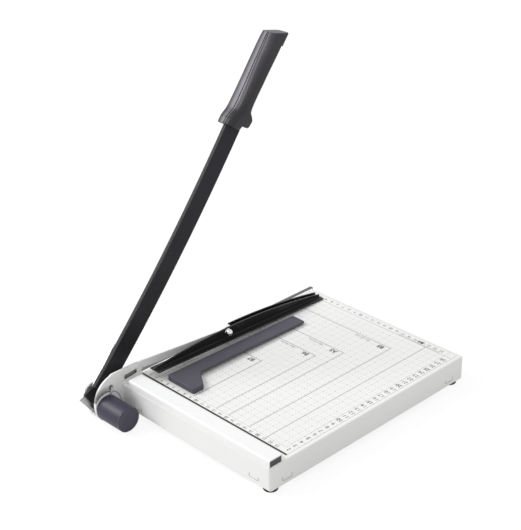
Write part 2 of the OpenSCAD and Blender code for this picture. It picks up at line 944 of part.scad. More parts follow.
// Half of the handle, cut off flat at the seam plane, towards +X
module grip_half() {
    m = 16;
    k = len(grip_rows);
    pts = [for (w = grip_rows) each half_ring(w)];
    walls = [for (i = [0 : k - 2], j = [0 : m - 1], h = [0, 1])
        let (a = i * m + j, b = i * m + (j + 1) % m)
        h == 0 ? [a, a + m, b + m] : [a, b + m, b]];
    turn = [7, 8, 9, 10, 11, 12, 13, 14, 1, 2, 3, 4, 5, 6];
    back = [7, 6, 5, 4, 3, 2, 1, 14, 13, 12, 11, 10, 9, 8];
    start = [[0, 1, 14, 15], turn];
    end = [for (f = [[15, 14, 1, 0], back]) [for (j = f) (k - 1) * m + j]];
    difference() {
        polyhedron(points = pts, faces = concat(walls, start, end));
        translate([-20, arm_l - 20, -40])
            cube([20, grip_l + 40, 80]);
    }
}

grip_screws = [arm_l + 34, arm_l + 76];
grip_screw_q = edge_at(arm_l) - 15.8;
head_deep = 4;

// Room for the arm's end, the knife's end and the tang
module arm_pocket() {
    c = 0.1;
    q0 = edge_at(arm_l + 8) - arm_d - 0.3;
    translate([knife_x - c, arm_l - 10, q0])
        cube([knife_t + bar_t + 2 * c, 18, 30]);
    translate([bar_x - c, arm_l + 4, edge_at(arm_l) - 20.8 - c])
        cube([bar_t + 2 * c, tang_l - 4 + 0.4, 10 + 2 * c]);
}

module handle_outer() {
    color("#55535a")
    arm_frame()
        difference() {
            translate([arm_mid, 0, 0])
                grip_half();
            arm_pocket();
            for (s = grip_screws) {
                rod_x(arm_mid - 20, 60, 1.9, s, grip_screw_q);
                rod_x(arm_mid + head_deep + 2, 60, 3.7, s, grip_screw_q);
            }
        }
}

module handle_inner() {
    color("#55535a")
    arm_frame()
        difference() {
            translate([arm_mid, 0, 0])
                mirror([1, 0, 0])
                    grip_half();
            arm_pocket();
            for (s = grip_screws)
                rod_x(arm_mid - 7, 20, 1.9, s, grip_screw_q);
        }
}

module handle_screws() {
    color("silver")
    arm_frame()
        for (s = grip_screws)
            translate([arm_mid + head_deep + 2, s, grip_screw_q])
                rotate([0, 90, 0])
                    pan_screw(1.8, 3.4, 2, head_deep + 2 + 6.6);
}

// Press lever and paper clamp

// Side of the lever: hub, raised neck and long arm to the screw
module lever_side(x0, t) {
    end = pin_y - 6;
    y1 = notch_y;
    top1 = bed_h + 15.3;
    top2 = pin_z + 5.9;
    yz(x0, t)
        translate([pivot_y, pivot_z])
            circle(10);
    yz(x0, t)
        translate([pin_y, pin_z])
            circle(6);
    yz(x0, t)
        polygon([[end, top2], [y1, top1], [y1 + 27, top1 - 1.4], [pivot_y + 6.5, pivot_z + 7.6],
            [pivot_y - 5, pivot_z - 8.6], [y1 + 3, bed_h + 0.6], [y1 - 2, top1 - lever_h],
            [end, top2 - lever_h]]);
}

// The lever seen from above: straight beside the cheek, then slanting to the clamp
bend_in = 11;
run_out = 30;
lever_path = [[lever_x, pivot_y + 20], [lever_x, notch_y - 2], [end_x, pin_y + bend_in], [end_x, pin_y - run_out]];

module press_lever() {
    color("whitesmoke")
    difference() {
        intersection() {
            translate([0, 0, -20])
                linear_extrude(bed_h + 80)
                    polygon(concat(lever_path,
                        [for (i = [3 : -1 : 0]) lever_path[i] + [lever_t, 0]]));
            lever_side(end_x - 5, lever_x - end_x + 20);
        }
        rod_x(lever_x - 5, 20, bore_r, pivot_y, pivot_z);
        rod_x(end_x - 5, 20, pin_r + 0.05, pin_y, pin_z);
    }
}

// Dome head, shank and nut that carry the clamp on the lever's end
module clamp_screw() {
    seat = wall_x - gap;
    color("silver")
    translate([0, pin_y, pin_z]) {
        rod_x(seat - 0.1, end_x + lever_t + 4.4 - seat, pin_r);
        translate([seat, 0, 0])
            rotate([0, -90, 0])
                dome(dome_d / 2, 3.3);
    }
}

module clamp_nut() {
    color("silver")
    translate([end_x + lever_t, pin_y, pin_z])
        rotate([0, 90, 0])
            hex_nut(8, 4, pin_r + 0.05);
}

// The clamp's own frame has its origin on the screw and is tilted as it rests
module clamp_frame() {
    translate([0, pin_y, pin_z])
        rotate([clamp_tilt, 0, 0])
            children();
}

// A wall of the clamp between two places, with the arched top edge
module clamp_wall(y0, y1) {
    half = clamp_l / 2;
    rise = clamp_mid - clamp_tip;
    r = (half * half + rise * rise) / (2 * rise);
    intersection() {
        translate([y0, -pin_up])
            square([y1 - y0, clamp_mid + 1]);
        translate([clamp_rear - half, clamp_mid - pin_up - r])
            circle(r, $fn = big_fn);
    }
}

module clamp_bar() {
    y0 = clamp_rear - clamp_l;
    color("#1e1e20")
    clamp_frame()
        difference() {
            union() {
                xz(y0, clamp_l)
                    union() {
                        translate([clamp_x0 + 0.6, -pin_up])
                            square([clamp_w - 0.6, clamp_t]);
                        translate([clamp_x0 + clamp_t / 2, -pin_up + clamp_t / 2])
                            circle(clamp_t / 2);
                        translate([wall_x - 1.2, -pin_up + clamp_t - 0.1])
                            difference() {
                                square([1.3, 1.3]);
                                translate([0, 1.3])
                                    circle(1.2);
                            }
                    }
                yz(wall_x, clamp_t)
                    clamp_wall(y0, clamp_rear);
                yz(rear_x, clamp_t)
                    clamp_wall(y0, -8.4);
            }
            rod_x(wall_x - 5, 10, pin_r + 0.06);
        }
}

// Corner guide

// The guide's frame has its origin at the head's right corner, on the bed
module guide_frame() {
    translate([x_cut - guide_x, fence_y - guide_y, bed_h])
        rotate([0, 0, -guide_turn])
            children();
}

// Points of the arc that rounds corner b between its neighbours a and c
function corner_arc(a, b, c, r) =
    let (u = (a - b) / norm(a - b), v = (c - b) / norm(c - b), half = acos(u * v) / 2,
        m = b + (u + v) / norm(u + v) * r / sin(half), p = b + u * r / tan(half) - m,
        q = b + v * r / tan(half) - m, a0 = atan2(p[1], p[0]),
        turn = (atan2(q[1], q[0]) - a0 + 540) % 360 - 180)
    [for (k = [0 : 6]) m + r * [cos(a0 + turn * k / 6), sin(a0 + turn * k / 6)]];

// The guide's outline, drawn in by i: a head, a slanted shoulder with a hollow, and the leg
function guide_outline(i) =
    let (corner = [[-i, -i, 2.5 - i], [-guide_head + i, -i, 2.5 - i],
        [-guide_head + i, -16.2 + i * 0.3, 2.5 - i], [-guide_leg + i, -32.4 + i * 0.3, 5 + i],
        [-guide_leg + i, -guide_l + i, 2.5 - i], [-i, -guide_l + i, 2.5 - i]],
        n = len(corner), at = [for (c = corner) [c[0], c[1]]])
    [for (k = [0 : n - 1])
        for (p = corner_arc(at[(k + n - 1) % n], at[k], at[(k + 1) % n], corner[k][2])) p];

// Height of the guide's sloping top above the bed
function guide_top(y) = guide_t + (guide_t - guide_tip) * y / guide_l;

// The solid of the outline, its top edge softened by e; the caps fan out from the outer corner
module guide_solid() {
    e = 0.9;
    low = guide_outline(0);
    high = guide_outline(e);
    m = len(low);
    points = concat([for (p = low) [p[0], p[1], 0]], [for (p = low) [p[0], p[1], guide_top(p[1]) - e]],
        [for (p = high) [p[0], p[1], guide_top(p[1])]]);
    walls = [for (k = [0, 1]) for (j = [0 : m - 1])
        [k * m + j, k * m + m + j, k * m + m + (j + 1) % m, k * m + (j + 1) % m]];
    fan = [for (j = [4 : m + 2]) [3, j % m, (j + 1) % m]];
    floor_cap = [for (f = fan) if (f[2] != 3) [f[2], f[1], f[0]]];
    top_cap = [for (f = fan) if (f[2] != 3) [for (v = f) v + 2 * m]];
    polyhedron(points, concat(walls, floor_cap, top_cap));
}

// The leg's left side overhangs the bed, above a recess
lip_d = 5;
lip_t = 2.6;
magnet_x = -(guide_leg - lip_d) / 2;
magnet_y = [-10, -guide_l * 0.5, -guide_l + 14];

module lip_recess() {
    translate([-guide_leg - 3, -guide_l - 5, guide_tip - lip_t])
        rotate([atan((guide_t - guide_tip) / guide_l), 0, 0])
            translate([0, 0, -10])
                cube([lip_d + 3, guide_l + 5 - 40, 10]);
}

module corner_guide() {
    color("#5d5b66")
    guide_frame()
        difference() {
            guide_solid();
            lip_recess();
            for (y = magnet_y)
                translate([magnet_x, y, -1])
                    cylinder(h = 1 + 3.2, r = 6.05);
        }
}

module guide_magnets() {
    color("silver")
    guide_frame()
        for (y = magnet_y)
            translate([magnet_x, y, 0.2])
                cylinder(h = 3, r = 6);
}

base_tray();
foot_plates();
rubber_feet();
foot_screws();
fence_rail();
fence_plugs();
fence_screws();
fixed_blade();
fixed_blade_screws();
fixed_blade_nuts();
pivot_bracket();
bracket_screws();
bracket_nuts();
arm_spacer();
pivot_washer();
spring_cap();
return_spring();
pivot_shaft();
pivot_nut();
cutting_arm();
moving_blade();
blade_screws();
pivot_plate();
arm_rivets();
handle_inner();
handle_outer();
handle_screws();
press_lever();
clamp_screw();
clamp_nut();
clamp_bar();
corner_guide();
guide_magnets();
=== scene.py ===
"""Desk paper cutter: the finish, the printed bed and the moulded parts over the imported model.

Metres, +Z up, the table at Z = 0. The cutting edge is at the +X side, the pivot at the +Y end.
The sections follow the cutter as it is put together.
"""
import math

import bmesh
import bpy
import numpy as np
from mathutils import Matrix, Vector


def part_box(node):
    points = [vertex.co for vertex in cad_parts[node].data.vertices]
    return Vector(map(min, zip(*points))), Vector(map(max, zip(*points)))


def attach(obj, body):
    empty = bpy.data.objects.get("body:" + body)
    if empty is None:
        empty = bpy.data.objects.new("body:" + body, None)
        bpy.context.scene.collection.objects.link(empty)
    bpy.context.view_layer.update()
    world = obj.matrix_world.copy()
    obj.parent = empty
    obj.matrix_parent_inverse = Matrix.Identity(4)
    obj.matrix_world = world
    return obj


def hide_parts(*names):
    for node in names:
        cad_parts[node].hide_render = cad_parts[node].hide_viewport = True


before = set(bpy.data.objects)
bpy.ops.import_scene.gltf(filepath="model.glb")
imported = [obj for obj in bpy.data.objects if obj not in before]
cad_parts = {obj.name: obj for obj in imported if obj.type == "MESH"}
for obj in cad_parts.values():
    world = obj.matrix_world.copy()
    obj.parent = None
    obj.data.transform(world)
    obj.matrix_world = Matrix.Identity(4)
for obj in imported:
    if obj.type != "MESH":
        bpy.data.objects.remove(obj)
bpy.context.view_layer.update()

scene = bpy.context.scene

# The view

# The photograph was solved on the ruler marks of the bed: a long lens, from behind
# and to the left of the cutter, leaning a little over one degree.

view_turn = math.radians(136.2919)
view_rise = math.radians(26.8927)
view_lean = math.radians(-1.1211)
view_place = (-1.00033, 0.97138, 0.88522)
film_wide, lens_length, view_reach = 36, 94.30, 60

back = np.array([math.cos(view_rise) * math.cos(view_turn),
                 math.cos(view_rise) * math.sin(view_turn), math.sin(view_rise)])
side = np.cross([0, 0, 1], back)
side /= np.linalg.norm(side)
up = np.cross(back, side)
lean_c, lean_s = math.cos(view_lean), math.sin(view_lean)
turned = Matrix(np.column_stack([lean_c * side + lean_s * up, -lean_s * side + lean_c * up, back]).tolist())
lens = bpy.data.cameras.new("photo_view")
lens.sensor_width = film_wide
lens.lens = lens_length
lens.clip_end = view_reach
camera = bpy.data.objects.new("photo_view", lens)
camera.matrix_world = Matrix.Translation(view_place) @ turned.to_4x4()
scene.collection.objects.link(camera)
scene.camera = camera

# The table and the light

# A plain pale table under a white tent, with one large soft lamp high on the far side,
# so the bed is brightest and the long left skirt is the shaded one.

table_tone = (0.70, 0.70, 0.69, 1)
table_seen = (0.20, 0.20, 0.20, 1)
table_glow = 0.85
table_half, table_rows = 14, 8
tent_level, tent_seen = 0.71, 1.0
lamp_watts = 48
lamp_place = (1.83, 1.47, 1.92)
lamp_width = 1.4
scene.view_settings.view_transform = "Standard"


def add(tree, kind, sockets=None, **settings):
    """One shader node: settings are its properties, sockets its inputs, each a value or a link."""
    n = tree.nodes.new("ShaderNode" + kind)
    for key, value in settings.items():
        setattr(n, key, value)
    for key, value in (sockets or {}).items():
        if isinstance(value, bpy.types.NodeSocket):
            tree.links.new(value, n.inputs[key])
        else:
            n.inputs[key].default_value = value
    return n


def reckon(tree, operation, a, b=0.5, c=0.5, clip=False):
    """One step of arithmetic on two or three numbers or links; clip keeps it between 0 and 1."""
    return add(tree, "Math", {0: a, 1: b, 2: c}, operation=operation, use_clamp=clip).outputs[0]


def ramp(tree, value, start, end, low=0.0, top=1.0):
    """Runs evenly from low, where the value is at the start, to top, where it is at the end."""
    sockets = {"Value": value, "From Min": start, "From Max": end, "To Min": low, "To Max": top}
    return add(tree, "MapRange", sockets).outputs[0]


def new_object(name, points, faces, smooth=True, crease=40):
    """An object at the origin from points and faces; edges sharper than the crease angle stay sharp."""
    mesh = bpy.data.meshes.new(name)
    mesh.from_pydata(np.asarray(points, float).tolist(), [], faces)
    mesh.polygons.foreach_set("use_smooth", np.full(len(mesh.polygons), smooth))
    if smooth:
        mesh.set_sharp_from_angle(angle=math.radians(crease))
    mesh.update()
    thing = bpy.data.objects.new(name, mesh)
    scene.collection.objects.link(thing)
    return thing


def quads(nu, nv, round_u=False, round_v=False):
    """Faces of a grid of nu by nv points: each joins a point with its next along both ways,
    and round_u or round_v joins the last row or column to the first."""
    i, j = np.meshgrid(np.arange(nu if round_u else nu - 1), np.arange(nv if round_v else nv - 1),
                       indexing="ij")
    i2, j2 = (i + 1) % nu, (j + 1) % nv
    return np.stack([i * nv + j, i2 * nv + j, i2 * nv + j2, i * nv + j2], -1).reshape(-1, 4).tolist()


def seen_rays(tree):
    """1 for the view, for mirrors and for glass, 0 for light that only bounces about."""
    path = add(tree, "LightPath")
    seen = reckon(tree, "MAXIMUM", path.outputs["Is Camera Ray"], path.outputs["Is Glossy Ray"])
    return reckon(tree, "MAXIMUM", seen, path.outputs["Is Transmission Ray"])


table_paint = bpy.data.materials.new("table_paint")
table_paint.use_nodes = True
t = table_paint.node_tree
t.nodes.clear()
matt = add(t, "BsdfDiffuse", {"Color": table_tone})
thin = add(t, "BsdfDiffuse", {"Color": table_seen})
lift = add(t, "Emission", {"Color": (1, 1, 1, 1), "Strength": table_glow})
white = add(t, "AddShader", {0: thin.outputs[0], 1: lift.outputs[0]})
both = add(t, "MixShader", {0: seen_rays(t), 1: matt.outputs[0], 2: white.outputs[0]})
add(t, "OutputMaterial", {"Surface": both.outputs[0]})

span = np.linspace(-table_half, table_half, table_rows)
table_x, table_y = np.meshgrid(span, span, indexing="ij")
table_points = np.stack([table_x, table_y, 0 * table_x], -1).reshape(-1, 3)
table = new_object("table_top", table_points, quads(table_rows, table_rows), False)
table.data.materials.append(table_paint)

tent = bpy.data.worlds.new("white_tent")
scene.world = tent
tent.use_nodes = True
t = tent.node_tree
t.nodes.clear()
level = ramp(t, seen_rays(t), 0.0, 1.0, tent_level, tent_seen)
sky = add(t, "Background", {"Color": (1, 1, 1, 1), "Strength": level})
add(t, "OutputWorld", {"Surface": sky.outputs[0]})

soft_box = bpy.data.lights.new("soft_box", "AREA")
soft_box.shape = "SQUARE"
soft_box.size = lamp_width
soft_box.energy = lamp_watts
lamp = bpy.data.objects.new("soft_box", soft_box)
lamp.location = lamp_place
lamp.rotation_euler = Vector(lamp_place).to_track_quat("Z", "Y").to_euler()
scene.collection.objects.link(lamp)

# Base tray

# One pressing of 1.2 mm sheet steel with deep skirts, powder coated white and semi-gloss.
# The coat has a faint skin like orange peel, and rolled edges that catch the light.

coat_white = (0.925, 0.925, 0.91, 1)
coat_cool = (0.895, 0.895, 0.89, 1)
skin_scale = 750
skin_depth = 0.00003
rolled_edge = 0.0007


def new_group(name, takes, gives):
    """An empty shader group with its inputs (name, kind, first value) and outputs (name, kind)."""
    g = bpy.data.node_groups.new(name, "ShaderNodeTree")
    for label, kind, value in takes:
        socket = g.interface.new_socket(name=label, in_out="INPUT", socket_type="NodeSocket" + kind)
        if value is not None:
            socket.default_value = value
    for label, kind in gives:
        g.interface.new_socket(name=label, in_out="OUTPUT", socket_type="NodeSocket" + kind)
    return g, g.nodes.new("NodeGroupInput").outputs, g.nodes.new("NodeGroupOutput").inputs


def use(tree, group, sockets):
    """One shared group placed in a material, with that material's own values."""
    return add(tree, "Group", sockets, node_tree=group).outputs


# Edges: the light sees them rounded, and the mask is 1 where they are sharp, for edges rubbed down to the
# metal or for a painted highlight along them
edges, take, give = new_group(
    "rounded_edges", [("Place", "Vector", None), ("Radius", "Float", 0.0004), ("Start", "Float", 0.42)],
    [("Normal", "Vector"), ("Rub_or_Glint", "Float")])
soft = add(edges, "Bevel", {"Radius": take["Radius"]}, samples=6)
flat = add(edges, "NewGeometry")
same = add(edges, "VectorMath", {0: soft.outputs[0], 1: flat.outputs["Normal"]}, operation="DOT_PRODUCT")
sharp = ramp(edges, same.outputs["Value"], 0.985, 0.80)
blot = add(edges, "TexNoise", {"Vector": take["Place"], "Scale": 55.0, "Detail": 4.0})
worn_or_glinting = ramp(edges, blot.outputs[0], take["Start"], reckon(edges, "ADD", take["Start"], 0.18))
edges.links.new(soft.outputs[0], give["Normal"])
edges.links.new(reckon(edges, "MULTIPLY", sharp, worn_or_glinting), give["Rub_or_Glint"])

# Mottle: slow patches of tone with a little fine cloud over them
mottle, take, give = new_group("mottle", [("Place", "Vector", None), ("Scale", "Float", 9.0)],
                               [("Value", "Float")])
slow = add(mottle, "TexNoise", {"Vector": take["Place"], "Scale": take["Scale"], "Detail": 2.0})
fine = add(mottle, "TexNoise", {"Vector": take["Place"], "Scale": 240.0, "Detail": 3.0})
patches = ramp(mottle, slow.outputs[0], 0.35, 0.65)
cloud = reckon(mottle, "MULTIPLY_ADD", fine.outputs[0], 0.35, -0.17)
mottle.links.new(reckon(mottle, "ADD", patches, cloud, clip=True), give["Value"])

# Skin: the height of a coat's, casting's or ground surface's grain
skin, take, give = new_group("skin", [("Place", "Vector", None), ("Scale", "Float", 700.0)],
                             [("Height", "Float")])
coarse = add(skin, "TexNoise", {"Vector": take["Place"], "Scale": take["Scale"], "Detail": 2.0})
pits = add(skin, "TexNoise", {"Vector": take["Place"], "Scale": reckon(skin, "MULTIPLY", take["Scale"], 2.7),
                              "Detail": 1.0})
skin.links.new(reckon(skin, "MULTIPLY_ADD", pits.outputs[0], 0.35, coarse.outputs[0]), give["Height"])


def coat(name, tones, gloss, grain, edge, patch=9.0, drawn=(1, 1, 1), metal=0.0, bare_or_glint=None, wear_or_glint_start=0.42,
         shine=0.5):
    """A finish: two tones mixed by the mottle, the least and greatest roughness, how fine and how
    deep the grain is, the edge radius that the light sees, how fine the mottle is, how the grain
    is drawn out along the axes, how metallic it is, the colour of sharp edges rubbed down to the
    metal or of a painted highlight along them with its strength, the noise past which that edge
    colour starts, and the strength of the plain gloss."""
    m = bpy.data.materials.new(name)
    m.use_nodes = True
    t = m.node_tree
    t.nodes.clear()
    place = add(t, "TexCoord").outputs["Object"]
    lines = add(t, "Mapping", {"Vector": place, "Scale": drawn}).outputs[0]
    worn_or_glinting = use(t, edges, {"Place": place, "Radius": edge, "Start": wear_or_glint_start})
    height = use(t, skin, {"Place": lines, "Scale": grain[0]})["Height"]
    tone = add(t, "Mix", {0: use(t, mottle, {"Place": place, "Scale": patch})["Value"],
                          6: tones[0], 7: tones[1]}, data_type="RGBA").outputs[2]
    rough = ramp(t, height, 0.4, 0.95, *gloss)
    if bare_or_glint:
        rub_or_glint = reckon(t, "MULTIPLY", worn_or_glinting["Rub_or_Glint"], bare_or_glint[1])
        tone = add(t, "Mix", {0: rub_or_glint, 6: tone, 7: bare_or_glint[0]}, data_type="RGBA").outputs[2]
        metal = reckon(t, "MAXIMUM", rub_or_glint, metal)
    bump = add(t, "Bump", {"Height": height, "Distance": grain[1], "Strength": 1.0,
                           "Normal": worn_or_glinting["Normal"]})
    shader = add(t, "BsdfPrincipled", {"Base Color": tone, "Roughness": rough, "Metallic": metal,
                                       "Specular IOR Level": shine, "Normal": bump.outputs[0]})
    shader.name = "finish"
    add(t, "OutputMaterial", {"Surface": shader.outputs[0]})
    return m


def dress(names, material):
    """One finish for CAD parts, in place of the plain one they came with."""
    for name in names:
        cad_parts[name].data.materials.clear()
        cad_parts[name].data.materials.append(material)


white_coat = coat("white_powder_coat", (coat_white, coat_cool),
                  gloss=(0.34, 0.46), grain=(skin_scale, skin_depth), edge=rolled_edge, patch=5.0,
                  shine=0.45)
dress(["base_tray"], white_coat)

# The printed bed

# Screen print straight on the white coat: a heavy line along the fence, rulers numbered in
# centimetres on three sides, a 10 mm grid, and the frames of the common paper sizes.
# It reads for someone at the handle end. The front left corner box is bare.

zero_x = 0.11905
zero_y = 0.11785
print_z = 0.03603
ink_black = (0.016, 0.016, 0.014, 1)
ink_dark = (0.10, 0.10, 0.095, 1)
ink_line = (0.34, 0.34, 0.33, 1)
ink_faint = (0.60, 0.60, 0.59, 1)
right_end, left_line, left_edge = 9.6, 238.6, 249.3
fence_line, front_line, front_edge = 20.9, 288.5, 299.6
paper_frames = [("B7", 91, 128, ""), ("B6", 128, 182, "128 x 182 mm"), ("A5", 148, 210, "148 x 210 mm"),
                ("B5", 182, 257, "182 x 257 mm")]


def on_bed(x, y):
    """Points on the bed from millimetres left of the cutting edge and in front of the fence."""
    x, y = np.broadcast_arrays(x, y)
    return np.stack([zero_x - x / 1000, zero_y - y / 1000, np.full(x.shape, print_z)], -1)


def line_print(name, rows, ink):
    """Printed lines: each row is x0, y0, x1, y1 and width, and becomes one flat strip with half
    its width on each side of the line."""
    r = np.array(rows, float)
    along = r[:, 2:4] - r[:, 0:2]
    along /= np.linalg.norm(along, axis=1)[:, None]
    across = np.stack([-along[:, 1], along[:, 0]], -1) * r[:, 4:5] / 2
    ends = np.stack([r[:, :2] - across, r[:, :2] + across, r[:, 2:4] + across, r[:, 2:4] - across], 1)
    thing = new_object(name, on_bed(ends[:, :, 0], ends[:, :, 1]).reshape(-1, 3),
                       np.arange(len(r) * 4).reshape(-1, 4).tolist(), False)
    thing.data.materials.append(ink)
    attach(thing, "base")
    return thing


def letters(text, size, weight):
    """Flat outline of a word as points and faces, centred on its middle, drawn by the plain font."""
    curve = bpy.data.curves.new("word", "FONT")
    curve.body = text
    curve.size = size
    curve.offset = weight
    curve.align_x = "CENTER"
    curve.align_y = "CENTER"
    curve.resolution_u = 3
    word = bpy.data.objects.new("word", curve)
    scene.collection.objects.link(word)
    bpy.context.view_layer.update()
    mesh = bpy.data.meshes.new_from_object(word)
    points = np.zeros(len(mesh.vertices) * 3)
    mesh.vertices.foreach_get("co", points)
    faces = [list(p.vertices) for p in mesh.polygons]
    bpy.data.objects.remove(word)
    bpy.data.curves.remove(curve)
    bpy.data.meshes.remove(mesh)
    return points.reshape(-1, 3), faces


def word_print(name, words, ink):
    """Printed words: each is text, x, y in the bed's millimetres, height of the type and weight."""
    points, faces, first = [], [], 0
    for text, x, y, size, weight in words:
        p, f = letters(text, size / 1000, weight / 1000)
        points.append(p * [1, 1, 0] + on_bed(x, y))
        faces += [[v + first for v in face] for face in f]
        first += len(p)
    thing = new_object(name, np.concatenate(points), faces, False)
    thing.data.materials.append(ink)
    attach(thing, "base")
    return thing


def ink(name, colour, paler):
    """Screen ink: a flat colour that thins a little in places, on the coat's own gloss."""
    return coat(name, (colour, paler),
                gloss=(0.42, 0.55), grain=(skin_scale, skin_depth), edge=0.0001, patch=160.0)


black_ink = ink("black_ink", ink_black, (0.03, 0.03, 0.028, 1))
dark_ink = ink("dark_ink", ink_dark, (0.16, 0.16, 0.15, 1))
line_ink = ink("line_ink", ink_line, (0.38, 0.38, 0.37, 1))
faint_ink = ink("faint_ink", ink_faint, (0.70, 0.70, 0.69, 1))

heavy_line, heavy_wide = 11.3, 2.7
line_print("heavy_fence_line", [(right_end, heavy_line, left_edge, heavy_line, heavy_wide)], black_ink)


def dots(x, y, wide):
    """Square dots, each a printed line as long as it is wide."""
    return np.stack([x - wide / 2, y, x + wide / 2, y, 0 * x + wide], -1)


# The grid, with dots where its lines cross and half way between
grid_wide, dot_wide, half_wide = 0.13, 1.0, 0.9
tens = np.arange(10, 240, 10)
down_tens = np.arange(30, 290, 10)
rows = [(x, fence_line, x, front_line, grid_wide) for x in tens]
rows += [(right_end - 4, y, left_line, y, grid_wide) for y in down_tens]
line_print("grid_lines", rows, faint_ink)
cross_x, cross_y = [a.ravel() for a in np.meshgrid(tens, down_tens)]
line_print("grid_dots", dots(cross_x, cross_y, dot_wide), line_ink)
half_x, half_y = np.concatenate([[cross_x + 5, cross_y], [cross_x, cross_y - 5]], 1)
line_print("half_dots", dots(half_x, half_y, half_wide), faint_ink)

# The lines beside the rulers, the frames of the paper sizes and the ruler marks
a4_wide = 210
frame_wide, mark_wide, fine_wide, tick_wide = 0.9, 0.55, 0.3, 0.28
short_tick, long_tick = 2.8, 4.6
rows = [(right_end, fence_line, left_line, fence_line, 0.25),
        (left_line, fence_line, left_line, front_edge, fine_wide),
        (right_end, front_line, left_line + 10, front_line, mark_wide),
        (left_edge, 10, left_edge, front_edge, 0.45),
        (right_end, front_edge, left_edge, front_edge, fine_wide),
        (a4_wide, fence_line - 3, a4_wide, front_line, 0.8)]
rows += [(x, fence_line, x, y, frame_wide) for _, x, y, _ in paper_frames]
rows += [(right_end, y, x, y, frame_wide) for _, x, y, _ in paper_frames]
rows += [(x, fence_line - 1.2, x, fence_line + 0.4, 0.5) for x in tens]
rows += [(left_line - 0.6, y, left_line + 1.6, y, mark_wide) for y in down_tens]
rows += [(left_edge - 1.6, y, left_edge, y, mark_wide) for y in down_tens]
rows += [(x, front_line, x, front_line + (short_tick if x % 5 else long_tick), tick_wide)
         for x in np.arange(166, 230)]
line_print("frame_lines", rows, line_ink)

# The numerals, heavier at each fifth centimetre, and the names of the paper sizes
fence_row, side_column, front_row = 16.2, 243.9, 294.3
numeral_high, tall_high, label_high, note_high = 5.4, 7.4, 8.6, 4.2
label_in, label_up = 12, 5
note_in, note_up = 42, 3.8
words = [(str(n), 10 * n, fence_row, numeral_high, 0.04 if n % 5 else 0.18) for n in range(1, 24)]
words += [(str(n), side_column, 10 * n, tall_high, 0.05 if n % 5 else 0.20) for n in range(2, 29)]
words += [(str(n), 10 * n, front_row, numeral_high, 0.04 if n % 5 else 0.18) for n in range(1, 24)]
words += [(name, x - label_in, y - label_up, label_high, 0.34) for name, x, y, _ in paper_frames]
words += [("A4", a4_wide - 11.5, 293.6, tall_high, 0.3)]
word_print("ruler_numbers", words, dark_ink)
notes = [(note, x - note_in, y - note_up, note_high, 0.10) for _, x, y, note in paper_frames if note]
word_print("size_notes", notes, line_ink)

# Pressed marks of the skirts

# Small U-shaped grooves pressed into the skirts near their corners while the sheet was flat.
# Thin grey strips on their floors are painted shade, so they read as thin grey lines.

mark_half, mark_tall, mark_low, mark_bend = 7.5, 5.6, 10.5, 2.6
groove_wide, shade_wide = 1.1, 0.7
tray_back, cheek_face = 0.13735, 0.10825
# Grey of the groove strips: painted shade in the grooves.
groove_shade = coat("groove_shade", ((0.34, 0.34, 0.33, 1), (0.50, 0.50, 0.49, 1)),
                   gloss=(0.6, 0.8), grain=(900, 0.00003), edge=0.0002, patch=220.0)


def mark_dust(name, places):
    """Flat U strips of painted shade on the floor of the grooves, each two straight sides, two quarter
    bends and a straight foot. A place is the point below the U's middle and the way the U runs."""
    a = np.radians(np.linspace(180, 270, 6))
    bend = mark_bend - groove_wide / 2
    turn_x, turn_z = -mark_half + mark_bend + bend * np.cos(a), mark_bend + bend * np.sin(a)
    flank = mark_half - groove_wide / 2
    u = np.concatenate([[-flank], turn_x, -turn_x[::-1], [flank]])
    v = np.concatenate([[mark_tall], turn_z, turn_z[::-1], [mark_tall]])
    middle = np.stack([u, v], -1)
    way = np.gradient(middle, axis=0)
    way /= np.linalg.norm(way, axis=1)[:, None]
    out = np.stack([-way[:, 1], way[:, 0]], -1) * shade_wide / 2
    path = np.stack([middle - out, middle + out], 1).reshape(-1, 2) / 1000
    points = [np.array(place) + path[:, :1] * np.array(run) + path[:, 1:] * np.array((0, 0, 1))
              for place, run in places]
    step = len(path)
    faces = [[k * step + i for i in f] for k in range(len(places)) for f in quads(len(u), 2)]
    thing = new_object(name, np.concatenate(points), faces, False)
    thing.data.materials.append(groove_shade)
    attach(thing, "base")
    return thing


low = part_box("base_tray")[0]
mark_in, mark_floor = 0.0255, 0.00037
mark_dust("groove_shade_left", [((low[0] + mark_floor, y, mark_low / 1000), (0, 1, 0))
                             for y in (low[1] + mark_in, tray_back - mark_in)])
mark_dust("groove_shade_rear", [((x, tray_back - mark_floor, mark_low / 1000), (1, 0, 0))
                             for x in (low[0] + mark_in, cheek_face - mark_in)])

# Feet, corner plates and their screws

# Moulded black rubber feet with a rounded rim, each held by a screw sunk in its sole to a
# zinc plated steel plate in the tray's corner. The cutter's nuts, rivets and hidden screws
# are zinc plated too.

rubber = coat("black_rubber", ((0.012, 0.012, 0.012, 1), (0.022, 0.022, 0.021, 1)),
              gloss=(0.62, 0.85), grain=(1400, 0.00005), edge=0.0008, patch=60.0, shine=0.35)
zinc = coat("zinc_plate", ((0.74, 0.75, 0.76, 1), (0.60, 0.61, 0.63, 1)),
            gloss=(0.34, 0.52), grain=(900, 0.000012), edge=0.0004, patch=90.0, metal=1.0)
dress(["rubber_feet"], rubber)
dress(["foot_plates", "foot_screws"], zinc)

# Fence

# A hollow white rail screwed to the bed's rear edge. Its ends are closed by plugs of
# dark moulded plastic, set a little inside the rail's rim.

fence_coat = coat("fence_coat", ((0.955, 0.955, 0.95, 1), (0.93, 0.935, 0.935, 1)),
                  gloss=(0.30, 0.42), grain=(skin_scale, skin_depth), edge=0.0006, patch=6.0,
                  shine=0.45)
dark_plastic = coat("dark_plastic", ((0.042, 0.040, 0.042, 1), (0.054, 0.052, 0.054, 1)),
                    gloss=(0.48, 0.62), grain=(1800, 0.00003), edge=0.0004, patch=40.0)
dress(["fence_rail"], fence_coat)
dress(["fence_plugs"], dark_plastic)
dress(["fence_screws"], zinc)

# Fixed blade

# A strip of ground tool steel down the bed's cutting side, screwed to the skirt.
# Its grinding lines run along the edge.

